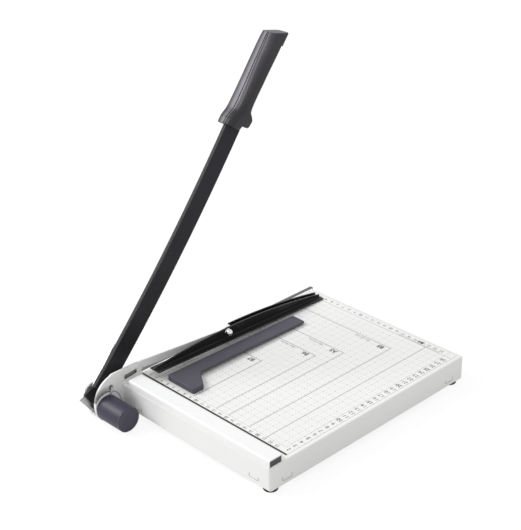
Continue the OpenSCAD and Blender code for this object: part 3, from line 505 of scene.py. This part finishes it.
ground = coat("ground_steel", ((0.20, 0.20, 0.215, 1), (0.13, 0.13, 0.14, 1)),
              gloss=(0.24, 0.42), grain=(1500, 0.00001), edge=0.0003, patch=14.0, drawn=(1, 0.02, 1),
              metal=1.0)
dress(["fixed_blade"], ground)
dress(["fixed_blade_screws", "fixed_blade_nuts"], zinc)

# Pivot bracket

# A thick steel stirrup that holds the pivot beside the tray, in the same white coat.
# Painted shade darkens the cheek and the lever inside the slot, a painted shadow lies on the cheek
# # above the spring's seat, and thin rings of painted shade go round the seat and the hook hole.

seat_y, seat_z, seat_r = 0.1618, 0.0136, 0.0212
hole_y, hole_z, hole_r = 0.15413, 0.03814, 0.0027
behind_slot, slot_reach = (0.1170, 0.1190, 0.0375), 0.0175
slot_top, slot_front = 0.0452, 0.1085
shadow_wide, shadow_way = 0.0088, (0, 0.34, 0.94)

bracket_coat = coat("bracket_coat", (coat_white, coat_cool),
                    gloss=(0.34, 0.48), grain=(skin_scale, skin_depth), edge=0.0008, patch=12.0,
                    shine=0.45)


def apart(tree, a, b):
    """Distance between two places."""
    return add(tree, "VectorMath", {0: a, 1: b}, operation="DISTANCE").outputs["Value"]


def overlay(m, mask, colour):
    """A second colour laid over a finish where the mask, made by a function of the tree, is 1."""
    t = m.node_tree
    under = t.nodes["finish"].inputs["Base Color"].links[0].from_socket
    over = add(t, "Mix", {0: mask(t), 6: under, 7: colour}, data_type="RGBA")
    t.links.new(over.outputs[2], t.nodes["finish"].inputs["Base Color"])


def near_ring(y, z, r, wide):
    """A mask along a circle in the cheek's plane, strong on the circle and 0 beyond its width."""
    def mask(t):
        here = add(t, "TexCoord").outputs["Object"]
        flat = add(t, "VectorMath", {0: here, 1: (0, 1, 1)}, operation="MULTIPLY").outputs[0]
        off = reckon(t, "ABSOLUTE", reckon(t, "SUBTRACT", apart(t, flat, (0, y, z)), r))
        return ramp(t, off, wide, 0.0, top=0.75)
    return mask


def inside_slot(t):
    """1 on what shows through the slot, where painted shade goes: behind the cheek's outer face, below
    the cheek's top and not past the slot's front end."""
    here = add(t, "TexCoord").outputs["Object"]
    x, y, z = add(t, "SeparateXYZ", {0: here}).outputs
    near = ramp(t, apart(t, here, behind_slot), slot_reach + 0.003, slot_reach)
    behind = ramp(t, x, cheek_face + 0.0001, cheek_face + 0.00125)
    below = ramp(t, z, slot_top + 0.001, slot_top)
    beside = ramp(t, y, slot_front, slot_front + 0.0013)
    within = reckon(t, "MULTIPLY", behind, reckon(t, "MULTIPLY", below, beside))
    return reckon(t, "MULTIPLY", near, within, clip=True)


def beside_seat(t):
    """Painted shadow on the cheek just outside the spring's round seat, darkest next to it, towards the top.
    """
    here = add(t, "TexCoord").outputs["Object"]
    off = add(t, "VectorMath", {0: here, 1: (0, seat_y, seat_z)}, operation="SUBTRACT").outputs[0]
    off = add(t, "VectorMath", {0: off, 1: (0, 1, 1)}, operation="MULTIPLY").outputs[0]
    r = add(t, "VectorMath", {0: off}, operation="LENGTH").outputs["Value"]
    way = add(t, "VectorMath", {0: off}, operation="NORMALIZE").outputs[0]
    top = add(t, "VectorMath", {0: way, 1: shadow_way}, operation="DOT_PRODUCT").outputs["Value"]
    fade = ramp(t, r, seat_r + shadow_wide, seat_r)
    outside = ramp(t, r, seat_r - 0.0006, seat_r)
    facing = ramp(t, top, 0.72, 0.97, top=0.95)
    return reckon(t, "MULTIPLY", reckon(t, "MULTIPLY", fade, outside), facing, clip=True)


# Painted shadow on the cheek above the spring's seat.
overlay(bracket_coat, beside_seat, (0.06, 0.06, 0.055, 1))
# A thin ring of painted shade round the edge of the spring's seat.
overlay(bracket_coat, near_ring(seat_y, seat_z, seat_r, 0.0014), (0.09, 0.09, 0.085, 1))
# A ring of painted shade round the hook's hole.
overlay(bracket_coat, near_ring(hole_y, hole_z, hole_r, 0.0011), (0.02, 0.02, 0.02, 1))
# Painted shade on the bracket inside the slot.
overlay(bracket_coat, inside_slot, (0.20, 0.20, 0.19, 1))
dress(["pivot_bracket"], bracket_coat)
dress(["bracket_screws", "bracket_nuts"], zinc)

# Spring, cap and pivot

# A torsion spring of oiled wire sits in a moulded cap of dark violet-grey plastic on the
# pivot's inner end, and its hook goes through a hole of the bracket. The pivot is zinc plated.

pivot_y, pivot_z = 0.16285, 0.016
seat_x = 0.10705
wire = 0.0025
coil = 0.0108
curls, curl_steps, curl_gap = 9, 24, 0.0008
hook_turn, hook_reach = 111.5, 0.0238
cheek_thick = 0.0025

# The pale violet on the cap's sharp edges is a painted highlight along its rim and other edges.
cap_plastic = coat("cap_plastic", ((0.022, 0.019, 0.042, 1), (0.031, 0.028, 0.056, 1)),
                   gloss=(0.40, 0.52), grain=(1600, 0.00003), edge=0.0008, patch=30.0,
                   bare_or_glint=((0.62, 0.60, 0.70, 1), 0.6), wear_or_glint_start=0.05)
spring_wire = coat("spring_wire", ((0.50, 0.50, 0.50, 1), (0.36, 0.36, 0.37, 1)),
                   gloss=(0.28, 0.42), grain=(1200, 0.00001), edge=0.0002, patch=120.0, metal=1.0)


def round_pivot(x, r, a):
    """A point at distance r and angle a in degrees round the pivot, at x."""
    a = np.radians(a)
    return np.stack(np.broadcast_arrays(x, pivot_y + r * np.cos(a), pivot_z + r * np.sin(a)), -1)


def smooth_route(stops, n):
    """A curve through the stops: between two stops it is a cubic whose slopes are half the
    step from the stop before to the stop after."""
    p = np.concatenate([[2 * stops[0] - stops[1]], stops, [2 * stops[-1] - stops[-2]]])
    u = np.linspace(0, len(stops) - 1 - 1e-9, n)
    k = u.astype(int)
    f = (u - k)[:, None]
    a, b, c, d = p[k], p[k + 1], p[k + 2], p[k + 3]
    return b + f * (c - a) / 2 + f**2 * (a - 2.5 * b + 2 * c - d / 2) + f**3 * (1.5 * (b - c) + (d - a) / 2)


def wire_tube(name, route, radius, sides=14):
    """A round wire: circles square to the route, each turned on from the one before
    without twist, joined by quads and closed at both ends."""
    heading = np.gradient(route, axis=0)
    heading /= np.linalg.norm(heading, axis=1)[:, None]
    across = np.zeros_like(route)
    n = np.array([0.0, 0.0, 1.0])
    for i, h in enumerate(heading):
        n = n - h * (n @ h)
        n /= np.linalg.norm(n)
        across[i] = n
    other = np.cross(heading, across)
    a = np.linspace(0, 2 * np.pi, sides, endpoint=False)[None, :, None]
    rings = route[:, None] + radius * (np.cos(a) * across[:, None] + np.sin(a) * other[:, None])
    k = len(route)
    faces = quads(k, sides, False, True) + [list(range(sides)), [k * sides - 1 - j for j in range(sides)]]
    return new_object(name, rings.reshape(-1, 3), faces, True, 60)


def outward(thing):
    """Joins doubled points and turns every face of a closed piece outwards."""
    b = bmesh.new()
    b.from_mesh(thing.data)
    bmesh.ops.remove_doubles(b, verts=b.verts, dist=0.000001)
    bmesh.ops.recalc_face_normals(b, faces=b.faces)
    b.to_mesh(thing.data)
    b.free()
    return thing


def cut_out(thing, cutters):
    """Takes the cutters out of a piece for good, and removes them."""
    for c in cutters:
        m = thing.modifiers.new("cut", "BOOLEAN")
        m.operation = "DIFFERENCE"
        m.solver = "EXACT"
        m.object = c
    bpy.context.view_layer.update()
    done = bpy.data.meshes.new_from_object(thing.evaluated_get(bpy.context.evaluated_depsgraph_get()))
    thing.modifiers.clear()
    thing.data = done
    done.polygons.foreach_set("use_smooth", np.full(len(done.polygons), True))
    done.set_sharp_from_angle(angle=math.radians(35))
    for c in cutters:
        bpy.data.objects.remove(c)
    return thing


def spun(name, profile, axis, steps=96):
    """A closed profile of x and distance from an axis in millimetres, turned round that axis,
    which runs along X through the given y and z in metres."""
    x, r = np.array(profile).T[:, :, None] / 1000
    a = np.linspace(0, 2 * np.pi, steps, endpoint=False)[None, :]
    rings = np.stack(np.broadcast_arrays(x, axis[0] + r * np.cos(a), axis[1] + r * np.sin(a)), -1)
    return new_object(name, rings.reshape(-1, 3), quads(len(profile), steps, True, True), True, 30)


def rounded(x, r, radius, start, steps=7):
    """A quarter turn of a small radius round a centre, for a profile's corner."""
    a = np.radians(start + np.linspace(0, 90, steps))
    return list(zip(x + radius * np.cos(a), r + radius * np.sin(a)))


# The cap's wall from its open end, the faint groove before its rim, the rim, the dished end
# and the end's inner face
cap_profile = [(106.98, 13.0), (106.98, 14.9)] + rounded(106.38, 14.9, 0.5, 0)[2:]
cap_profile += [(72.6, 15.35), (70.9, 15.1), (69.9, 15.02), (69.1, 15.15)]
cap_profile += rounded(68.2, 14.6, 0.9, 90)[2:]
cap_profile += [(67.3, 13.2), (67.55, 12.7), (67.6, 4.0), (67.6, 0.01)]
cap_profile += [(69.2, 0.01), (69.2, 12.4), (69.8, 13.0)]
cap = spun("cap_moulding", cap_profile, (pivot_y, pivot_z))

# The wire: its hook through the cheek, its leg into the cap, the coil and the end at the shaft
leg_x = seat_x - wire / 2 - 0.00015
turn = np.linspace(0, 360 * curls, curl_steps * curls + 1)
coil_start = hook_turn + 38
curl_route = round_pivot(leg_x - 0.0001 - (wire + curl_gap) * turn / 360, coil, coil_start + turn)
hook_route = smooth_route(np.array([
    round_pivot(cheek_face + cheek_thick - 0.0006, hook_reach, hook_turn),
    round_pivot(leg_x + 0.0026, hook_reach, hook_turn),
    round_pivot(leg_x + 0.0009, hook_reach - 0.0005, hook_turn),
    round_pivot(leg_x, hook_reach - 0.0024, hook_turn),
    round_pivot(leg_x, coil + 0.0042, hook_turn),
    round_pivot(leg_x, coil + 0.0016, hook_turn + 6),
    round_pivot(leg_x, coil + 0.0003, hook_turn + 19), curl_route[0]]), 60)[:-1]
end_x = leg_x - 0.0001 - (wire + curl_gap) * curls - 0.0004
end_turn = coil_start + 360 * curls
end_route = smooth_route(np.array([
    curl_route[-1], round_pivot(end_x, coil - 0.0007, end_turn + 19),
    round_pivot(end_x, coil - 0.0024, end_turn + 33), round_pivot(end_x, 0.0054, end_turn + 42)]), 16)[1:]
notch_route = round_pivot(leg_x, np.linspace(0.009, 0.018, 6), hook_turn)
cap = cut_out(outward(cap), [wire_tube("notch", notch_route, wire / 2 + 0.0004)])
cap.data.materials.clear()
cap.data.materials.append(cap_plastic)
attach(cap, "base")
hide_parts("spring_cap")
spring = wire_tube("wound_spring", np.concatenate([hook_route, curl_route, end_route]), wire / 2)
spring.data.materials.append(spring_wire)
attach(spring, "base")
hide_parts("return_spring")
dress(["pivot_shaft", "pivot_nut", "pivot_washer", "arm_spacer"], zinc)

# Arm, knife and pivot plate

# A bowed bar of black coated steel with a knife of blackened steel screwed on its inner face.
# Its bevel is blackened too. A bare zinc plate stiffens the arm at the pivot.

open_turn = math.radians(180 - 50.8)
arm_long = 0.354
bow = 2.580
bow_mid, bow_off = 0.20886, 0.0121
grind_wide, grind_blend = 0.0018, 0.0003

arm_coat = coat("black_coat", ((0.0100, 0.0095, 0.0105, 1), (0.0165, 0.0155, 0.0170, 1)),
                gloss=(0.30, 0.46), grain=(900, 0.00003), edge=0.0005, patch=18.0,
                bare_or_glint=((0.20, 0.20, 0.21, 1), 0.35), shine=0.20)
knife_steel = coat("blackened_steel", ((0.017, 0.016, 0.0185, 1), (0.026, 0.025, 0.0285, 1)),
                   gloss=(0.28, 0.44), grain=(1300, 0.00001), edge=0.0003, patch=22.0,
                   drawn=(1, 0.15, 0.15), bare_or_glint=((0.45, 0.45, 0.46, 1), 0.6), shine=0.15)


def past_the_grind(t):
    """1 on the knife's narrow bevel: in the arm's own frame the edge is an arc of the bow radius."""
    here = add(t, "TexCoord").outputs["Object"]
    flat = add(t, "Mapping", {"Vector": here, "Location": (0, pivot_y, pivot_z),
                              "Rotation": (open_turn, 0, 0)}, vector_type="TEXTURE").outputs[0]
    level = add(t, "VectorMath", {0: flat, 1: (0, 1, 1)}, operation="MULTIPLY").outputs[0]
    r = apart(t, level, (0, bow_mid, bow_off - bow))
    return ramp(t, r, bow - grind_wide, bow - grind_wide + grind_blend)


overlay(knife_steel, past_the_grind, (0.035, 0.034, 0.036, 1))


def up_the_arm(t):
    """0 at the lower part of the open arm, growing to 1 towards its handle, a little mottled."""
    here = add(t, "TexCoord").outputs["Object"]
    z = add(t, "SeparateXYZ", {0: here}).outputs[2]
    blot = add(t, "TexNoise", {"Vector": here, "Scale": 14.0, "Detail": 2.0}).outputs[0]
    uneven = reckon(t, "MULTIPLY_ADD", blot, 0.12, z)
    return ramp(t, uneven, 0.20, 0.32)


# Painted dark reflection: the knife and bar are drawn darker and cooler towards the handle.
overlay(knife_steel, up_the_arm, (0.020, 0.019, 0.026, 1))
overlay(arm_coat, up_the_arm, (0.008, 0.0075, 0.009, 1))
dress(["cutting_arm"], arm_coat)
dress(["moving_blade"], knife_steel)
dress(["pivot_plate", "arm_rivets", "blade_screws"], zinc)

# Handle

# Two moulded shells of dark plastic screwed together over the arm's tang, with a groove where
# they meet. Each shell is a row of cross sections along the arm, pocketed for the arm's end.

arm_middle = zero_x + 0.00275
grip_wide = 0.027
seam_wide, seam_deep = 0.0012, 0.0008
front_round, back_round, palm_round = 0.005, 0.0034, 0.0085
crown_high = 0.0007
rows_between, corner_steps = 7, 11
pocket_x = (0.11895, 0.12465)
bar_deep, tang_deep, screw_deep = 0.0242, 0.0208, 0.0158
tang_x, tang_long, tang_high = (0.12095, 0.12465), 0.0864, 0.0101
screw_places, screw_bore = (0.034, 0.076), 0.0037
highlight_start, highlight_stretch = 0.020, 0.090

# Each row: back and front place along the arm, back and front offset, share of the width
grip_rows = np.array([
    [0, 2.4, -18.9, 0.6, 0.80], [0.8, 3.2, -19.6, 1.2, 0.86], [6.2, 7.6, -19.5, 2.2, 0.90],
    [8.0, 8.9, -19.4, 9.8, 0.91], [9.6, 10.2, -19.0, 12.0, 0.92], [14, 14.2, -18.0, 12.9, 0.93],
    [18.5, 18.6, -16.2, 12.6, 0.96], [22.5, 22.5, -15.2, 9.0, 1], [27, 27, -15.0, 3.6, 1],
    [33, 33, -15.0, 2.2, 1], [39, 39, -15.3, 1.9, 0.98], [50, 50, -15.9, 1.8, 0.96],
    [62, 62, -16.6, 1.9, 0.94], [78, 78, -17.9, 2.0, 0.90], [100, 100.6, -19.2, 2.3, 0.87],
    [110.4, 112.8, -19.8, 2.4, 0.84], [111.4, 114.2, -19.9, 4.2, 0.83], [117.6, 124, -20.2, 4.5, 0.79],
    [119.4, 130.8, -20.3, 4.6, 0.77], [120.1, 132, -19.6, 4.0, 0.70]])

grip_plastic = coat("grip_plastic", ((0.012, 0.011, 0.014, 1), (0.018, 0.017, 0.022, 1)),
                    gloss=(0.32, 0.44), grain=(2100, 0.000015), edge=0.0005, patch=26.0, shine=0.38)


def rubbed_by_palms(t):
    """Painted highlight along the backs of the shells: each point carries how much of it lies on the back,
    broken up a little by noise.
    """
    here = add(t, "TexCoord").outputs["Object"]
    back_highlight = add(t, "Attribute", attribute_name="back_highlight").outputs["Fac"]
    blot = add(t, "TexNoise", {"Vector": here, "Scale": 45.0, "Detail": 3.0}).outputs[0]
    return reckon(t, "MULTIPLY", back_highlight, reckon(t, "ADD", blot, 0.35), clip=True)


# Painted highlight: the backs of the shells are drawn paler and lilac along their length.
overlay(grip_plastic, rubbed_by_palms, (0.200, 0.180, 0.215, 1))


def along_arm(x, s, q):
    """Points from x, the distance s along the open arm and the distance q towards the cut: s and
    q are turned by the open angle and start at the pivot."""
    c, n = math.cos(open_turn), math.sin(open_turn)
    x, s, q = np.broadcast_arrays(x, s, q)
    return np.stack([x, pivot_y + s * c - q * n, pivot_z + s * n + q * c], -1)


def even_rows(rows, n):
    """More rows between the given ones, by cubics. A row's slope is the harmonic mean of the
    steps on its two sides, or 0 where they turn round, so that nothing overshoots."""
    step = np.diff(rows, axis=0)
    slope = np.zeros_like(rows)
    up_hill = step[:-1] * step[1:] > 0
    slope[1:-1] = np.where(up_hill, 2 * step[:-1] * step[1:] / np.where(up_hill, step[:-1] + step[1:], 1), 0)
    slope[0], slope[-1] = step[0], step[-1]
    u = np.linspace(0, len(rows) - 1 - 1e-9, n)
    k = u.astype(int)
    f = (u - k)[:, None]
    a, b, ma, mb = rows[k], rows[k + 1], slope[k], slope[k + 1]
    return a + f * ma + f**2 * (3 * (b - a) - 2 * ma - mb) + f**3 * (2 * (a - b) + ma + mb)


def grip_shell(name, way):
    """Half of the handle: each cross section runs from the groove's floor round a front corner,
    the side, a back corner and the crowned back to the groove again; way is +1 or -1 in X.
    The crown falls with the square of the way from the groove to the corner. The inner half
    (-1) has the rounder back, where the hand rests. Each point carries its share of the
    painted highlight along the back."""
    count = (len(grip_rows) - 1) * rows_between + 1
    sections = even_rows(grip_rows * [0.001, 0.001, 0.001, 0.001, 1], count)
    sb, sf, qb, qf, wide = sections.T[:, :, None]
    h, d, g = wide * grip_wide / 2, qf - qb, seam_wide / 2
    rf = np.minimum(front_round, d * 0.38)
    rb = np.minimum(back_round, d * 0.3) if way > 0 else np.minimum(palm_round, d * 0.45)
    a = np.radians(np.linspace(90, 0, corner_steps))[None, :]
    crown = np.array([[0.75, 0.5, 0.25]])
    back_x = g + (h - rb - g) * crown
    back_q = qb - crown_high * (1 - crown**2)
    seam, lip = 0 * d, g + 0 * d
    x = np.concatenate([seam, lip, lip, h - rf + rf * np.cos(a), h - rb + rb * np.sin(a), back_x,
                        lip, lip, seam], 1)
    q = np.concatenate([qf - seam_deep, qf - seam_deep, qf, qf - rf + rf * np.sin(a),
                        qb + rb - rb * np.cos(a), back_q,
                        qb - crown_high, qb + seam_deep, qb + seam_deep], 1)
    s = sb + (sf - sb) * (q - qb) / d
    n, m = x.shape
    rings = along_arm(arm_middle + way * x, arm_long + s, q)
    ends = [list(range(m)), [n * m - 1 - j for j in range(m)]]
    thing = new_object(name, rings.reshape(-1, 3), quads(n, m, False, True) + ends, True, 35)
    corner, crest = 3 + corner_steps, 3 + 2 * corner_steps
    back_highlight = np.zeros((n, m))
    back_highlight[:, crest:crest + 4] = (0.35, 0.8, 1, 0.9) if way > 0 else (0, 0.3, 0.9, 1)
    if way < 0:
        rise = np.clip((sb[:, 0] - highlight_start) / highlight_stretch, 0, 1)[:, None]
        back_highlight[:, corner:crest] = rise * np.linspace(0.05, 0.62, corner_steps)
        back_highlight[:, crest] = rise[:, 0] * 0.6
    thing.data.attributes.new("back_highlight", "FLOAT", "POINT").data.foreach_set("value", back_highlight.ravel())
    return outward(thing)


box_faces = [[0, 1, 3, 2], [4, 6, 7, 5], [0, 4, 5, 1], [2, 3, 7, 6], [0, 2, 6, 4], [1, 5, 7, 3]]


def arm_block(x0, x1, s0, s1, q0, q1):
    """A box in the arm's frame."""
    x, s, q = np.meshgrid([x0, x1], [s0, s1], [q0, q1], indexing="ij")
    return outward(new_object("block", along_arm(x, s, q).reshape(-1, 3), box_faces, False))


def arm_rod(x0, x1, s, q, r):
    """A round bar across the arm."""
    a = np.linspace(0, 2 * np.pi, 32, endpoint=False)
    ends = np.stack([along_arm(x, s + r * np.cos(a), q + r * np.sin(a)) for x in (x0, x1)])
    faces = quads(2, 32, False, True) + [list(range(32)), list(range(63, 31, -1))]
    return outward(new_object("rod", ends.reshape(-1, 3), faces, False))


def bow_edge(s):
    """Offset of the knife's bowed edge at a place along the arm: its circle's centre, plus the
    root of the radius squared less the squared distance from the bow's middle."""
    return bow_off - bow + math.sqrt(bow**2 - (s - bow_mid)**2)


def pocket():
    """Room in a shell for the end of the bar and knife, and for the tang."""
    low = bow_edge(arm_long + 0.008) - bar_deep - 0.0003
    tang = bow_edge(arm_long) - tang_deep
    return [arm_block(*pocket_x, arm_long - 0.01, arm_long + 0.008, low, low + 0.03),
            arm_block(*tang_x, arm_long + 0.004, arm_long + tang_long, tang - 0.0001, tang + tang_high)]


screw_q = bow_edge(arm_long) - screw_deep
screw_rooms = [arm_rod(arm_middle + 0.006, arm_middle + 0.03, arm_long + s, screw_q, screw_bore)
               for s in screw_places]
outer = cut_out(grip_shell("grip_outer_shell", 1), pocket() + screw_rooms)
inner = cut_out(grip_shell("grip_inner_shell", -1), pocket())
for shell, stands_for in ((outer, "handle_outer"), (inner, "handle_inner")):
    shell.data.materials.clear()
    shell.data.materials.append(grip_plastic)
    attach(shell, "arm")
    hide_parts(stands_for)
dress(["handle_screws"], zinc)

# Press lever and paper clamp

# A white coated strip of steel swings from the pivot and carries the clamp, a channel of
# # black coated sheet, by a chromed dome screw. The clamp's thin edges are partly rubbed to bare steel
# # and partly a painted highlight, drawn almost unbroken along them.

clamp_marks, mark_size = ((0.08885, -0.02975, 0.0521), (0.08885, -0.03815, 0.0515)), 0.0010
pin_y, pin_z = -0.01215, 0.0515
dome_x, dome_r, needle = 85.5, 4.4, 0.01

# The pale metal on the clamp's sharp edges is partly wear and partly a painted highlight.
clamp_coat = coat("clamp_black", ((0.0085, 0.0085, 0.0090, 1), (0.0145, 0.0145, 0.0150, 1)),
                  gloss=(0.34, 0.50), grain=(900, 0.00003), edge=0.0005, patch=20.0,
                  bare_or_glint=((0.42, 0.42, 0.42, 1), 0.8), wear_or_glint_start=0.24, shine=0.25)
lever_coat = coat("lever_coat", ((0.93, 0.94, 0.93, 1), (0.85, 0.86, 0.86, 1)),
                  gloss=(0.36, 0.50), grain=(skin_scale, skin_depth), edge=0.0006, patch=25.0,
                  shine=0.45)
# Painted shade on the lever where it shows through the bracket's slot.
overlay(lever_coat, inside_slot, (0.30, 0.30, 0.285, 1))
chrome = coat("chrome", ((0.80, 0.80, 0.82, 1), (0.66, 0.66, 0.69, 1)),
              gloss=(0.05, 0.12), grain=(500, 0.000004), edge=0.0002, patch=40.0, metal=1.0)
dress(["clamp_bar"], clamp_coat)
dress(["press_lever"], lever_coat)
dress(["clamp_nut"], zinc)


def spot(place, size):
    """A small round mark on a finish, 1 at the place and 0 past its size."""
    def mask(t):
        here = add(t, "TexCoord").outputs["Object"]
        return ramp(t, apart(t, here, place), size, size * 0.6)
    return mask


for mark in clamp_marks:
    overlay(clamp_coat, spot(mark, mark_size), (0.09, 0.09, 0.09, 1))

# The screw's shank, its collar and the part of a ball that its head is
ball = np.radians(np.linspace(62, 180, 18))
dome_profile = [(97.3, needle), (97.3, 2.0), (88.5, 2.0), (88.5, 4.5), (88.2, 4.5), (87.9, 4.0)]
dome_profile += list(zip(dome_x + dome_r * np.cos(ball), np.maximum(dome_r * np.sin(ball), needle)))
dome = outward(spun("clamp_dome", dome_profile, (pin_y, pin_z), 48))
dome.data.materials.append(chrome)
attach(dome, "press")
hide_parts("clamp_screw")

# Corner guide

# A loose moulded stop in violet-grey plastic with softened edges: a straight leg and a short
# head with a rounded inner corner. Three magnets in its sole hold it on the steel bed.

guide_x, guide_y, guide_z = 0.07605, 0.09595, 0.03605
guide_turn = math.radians(-0.3)
guide_long, leg_wide, head_wide = 206.5, 21.6, 45.6
head_high, tip_high = 7.0, 4.4
guide_round, sole_bevel = 1.1, 0.35
lip_deep, lip_thick, lip_start = 5.0, 2.6, 34.6
magnet_spots = [(-8.3, -10), (-8.3, -103.25), (-8.3, -192.5)]
magnet_r, magnet_deep = 6.08, 3.25

# Each corner: x and y in the guide's frame, and the rounding
guide_corners = np.array([
    (0, 0, 2.5), (-head_wide, 0, 2.5), (-head_wide, -16.2, 2.5), (-leg_wide, -32.4, 5),
    (-leg_wide, -guide_long, 2.5), (0, -guide_long, 2.5)])

guide_plastic = coat("guide_plastic", ((0.050, 0.046, 0.066, 1), (0.064, 0.059, 0.082, 1)),
                     gloss=(0.38, 0.52), grain=(1700, 0.00003), edge=0.0003, patch=24.0)
magnet_skin = coat("nickel_magnet", ((0.62, 0.61, 0.58, 1), (0.52, 0.51, 0.49, 1)),
                   gloss=(0.15, 0.3), grain=(700, 0.000006), edge=0.0003, patch=80.0, metal=1.0)


def rounded_outline(corners, steps=8):
    """A closed outline whose corners are arcs, with the outward direction at each point.
    An arc starts and ends where the two sides touch its circle."""
    p, r = corners[:, :2], corners[:, 2:3]
    to_last = np.roll(p, 1, 0) - p
    to_next = np.roll(p, -1, 0) - p
    to_last /= np.linalg.norm(to_last, axis=1)[:, None]
    to_next /= np.linalg.norm(to_next, axis=1)[:, None]
    half = np.arccos(np.clip((to_last * to_next).sum(1), -1, 1))[:, None] / 2
    middle = to_last + to_next
    middle /= np.linalg.norm(middle, axis=1)[:, None]
    centre = p + middle * r / np.sin(half)
    first = p + to_last * r / np.tan(half) - centre
    last = p + to_next * r / np.tan(half) - centre
    a0 = np.arctan2(first[:, 1], first[:, 0])[:, None]
    sweep = (np.arctan2(last[:, 1], last[:, 0])[:, None] - a0 + np.pi) % (2 * np.pi) - np.pi
    a = a0 + sweep * np.linspace(0, 1, steps + 1)[None, :]
    ray = np.stack([np.cos(a), np.sin(a)], -1)
    turn_way = np.sign(sweep * np.sign(sweep.sum()))[:, :, None]
    points = centre[:, None] + r[:, :, None] * ray
    return points.reshape(-1, 2), (ray * turn_way).reshape(-1, 2)


def in_guide(x, y, z):
    """Points from millimetres in the guide's own frame, which is turned a little on the bed."""
    c, n = math.cos(guide_turn), math.sin(guide_turn)
    x, y, z = np.broadcast_arrays(x, y, z)
    turned_x, turned_y = x * c - y * n, x * n + y * c
    return np.stack([guide_x + turned_x / 1000, guide_y + turned_y / 1000, guide_z + z / 1000], -1)


def guide_top(y):
    """Height of the top over the sole: it falls evenly from the head to the leg's tip."""
    return head_high + (head_high - tip_high) * y / guide_long


def guide_body():
    """The outline lifted from the bed: a small bevel at the sole, straight sides, then a quarter
    round at the top edge, drawn in by r - r cos a and lifted by r sin a, closed above and below."""
    line, out = rounded_outline(guide_corners)
    r = guide_round
    a = np.radians(np.linspace(0, 90, 8))[:, None]
    inset = np.concatenate([[[sole_bevel], [0.0]], r - r * np.cos(a)])[:, :, None]
    xy = line[None] - out[None] * inset
    top = guide_top(xy[2:, :, 1])
    sole = np.broadcast_to([[0.0], [sole_bevel]], (2, len(line)))
    z = np.concatenate([sole, top - r + r * np.sin(a)])
    k, m = z.shape
    faces = quads(k, m, False, True) + [list(range(m)), list(range(k * m - m, k * m))]
    points = in_guide(xy[:, :, 0], xy[:, :, 1], z).reshape(-1, 3)
    return outward(new_object("guide_moulding", points, faces, True, 40))


def lip_room():
    """What is taken from below the leg's left side, up to a plate of even thickness."""
    x, y, low = np.meshgrid([-leg_wide - 3, -leg_wide + lip_deep], [-guide_long - 5, -lip_start], [1, 0],
                            indexing="ij")
    z = np.where(low, -5, guide_top(y) - lip_thick)
    return outward(new_object("lip_room", in_guide(x, y, z).reshape(-1, 3), box_faces, False))


def magnet_room(x, y):
    """A round pocket in the sole for one magnet."""
    a = np.linspace(0, 2 * np.pi, 40, endpoint=False)
    z = np.array([[-1.0], [magnet_deep]])
    faces = quads(2, 40, False, True) + [list(range(40)), list(range(79, 39, -1))]
    rings = in_guide(x + magnet_r * np.cos(a), y + magnet_r * np.sin(a), z)
    return outward(new_object("magnet_room", rings.reshape(-1, 3), faces, False))


guide = cut_out(guide_body(), [lip_room()] + [magnet_room(x, y) for x, y in magnet_spots])
guide.data.materials.clear()
guide.data.materials.append(guide_plastic)
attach(guide, "guide")
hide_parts("corner_guide")
dress(["guide_magnets"], magnet_skin)
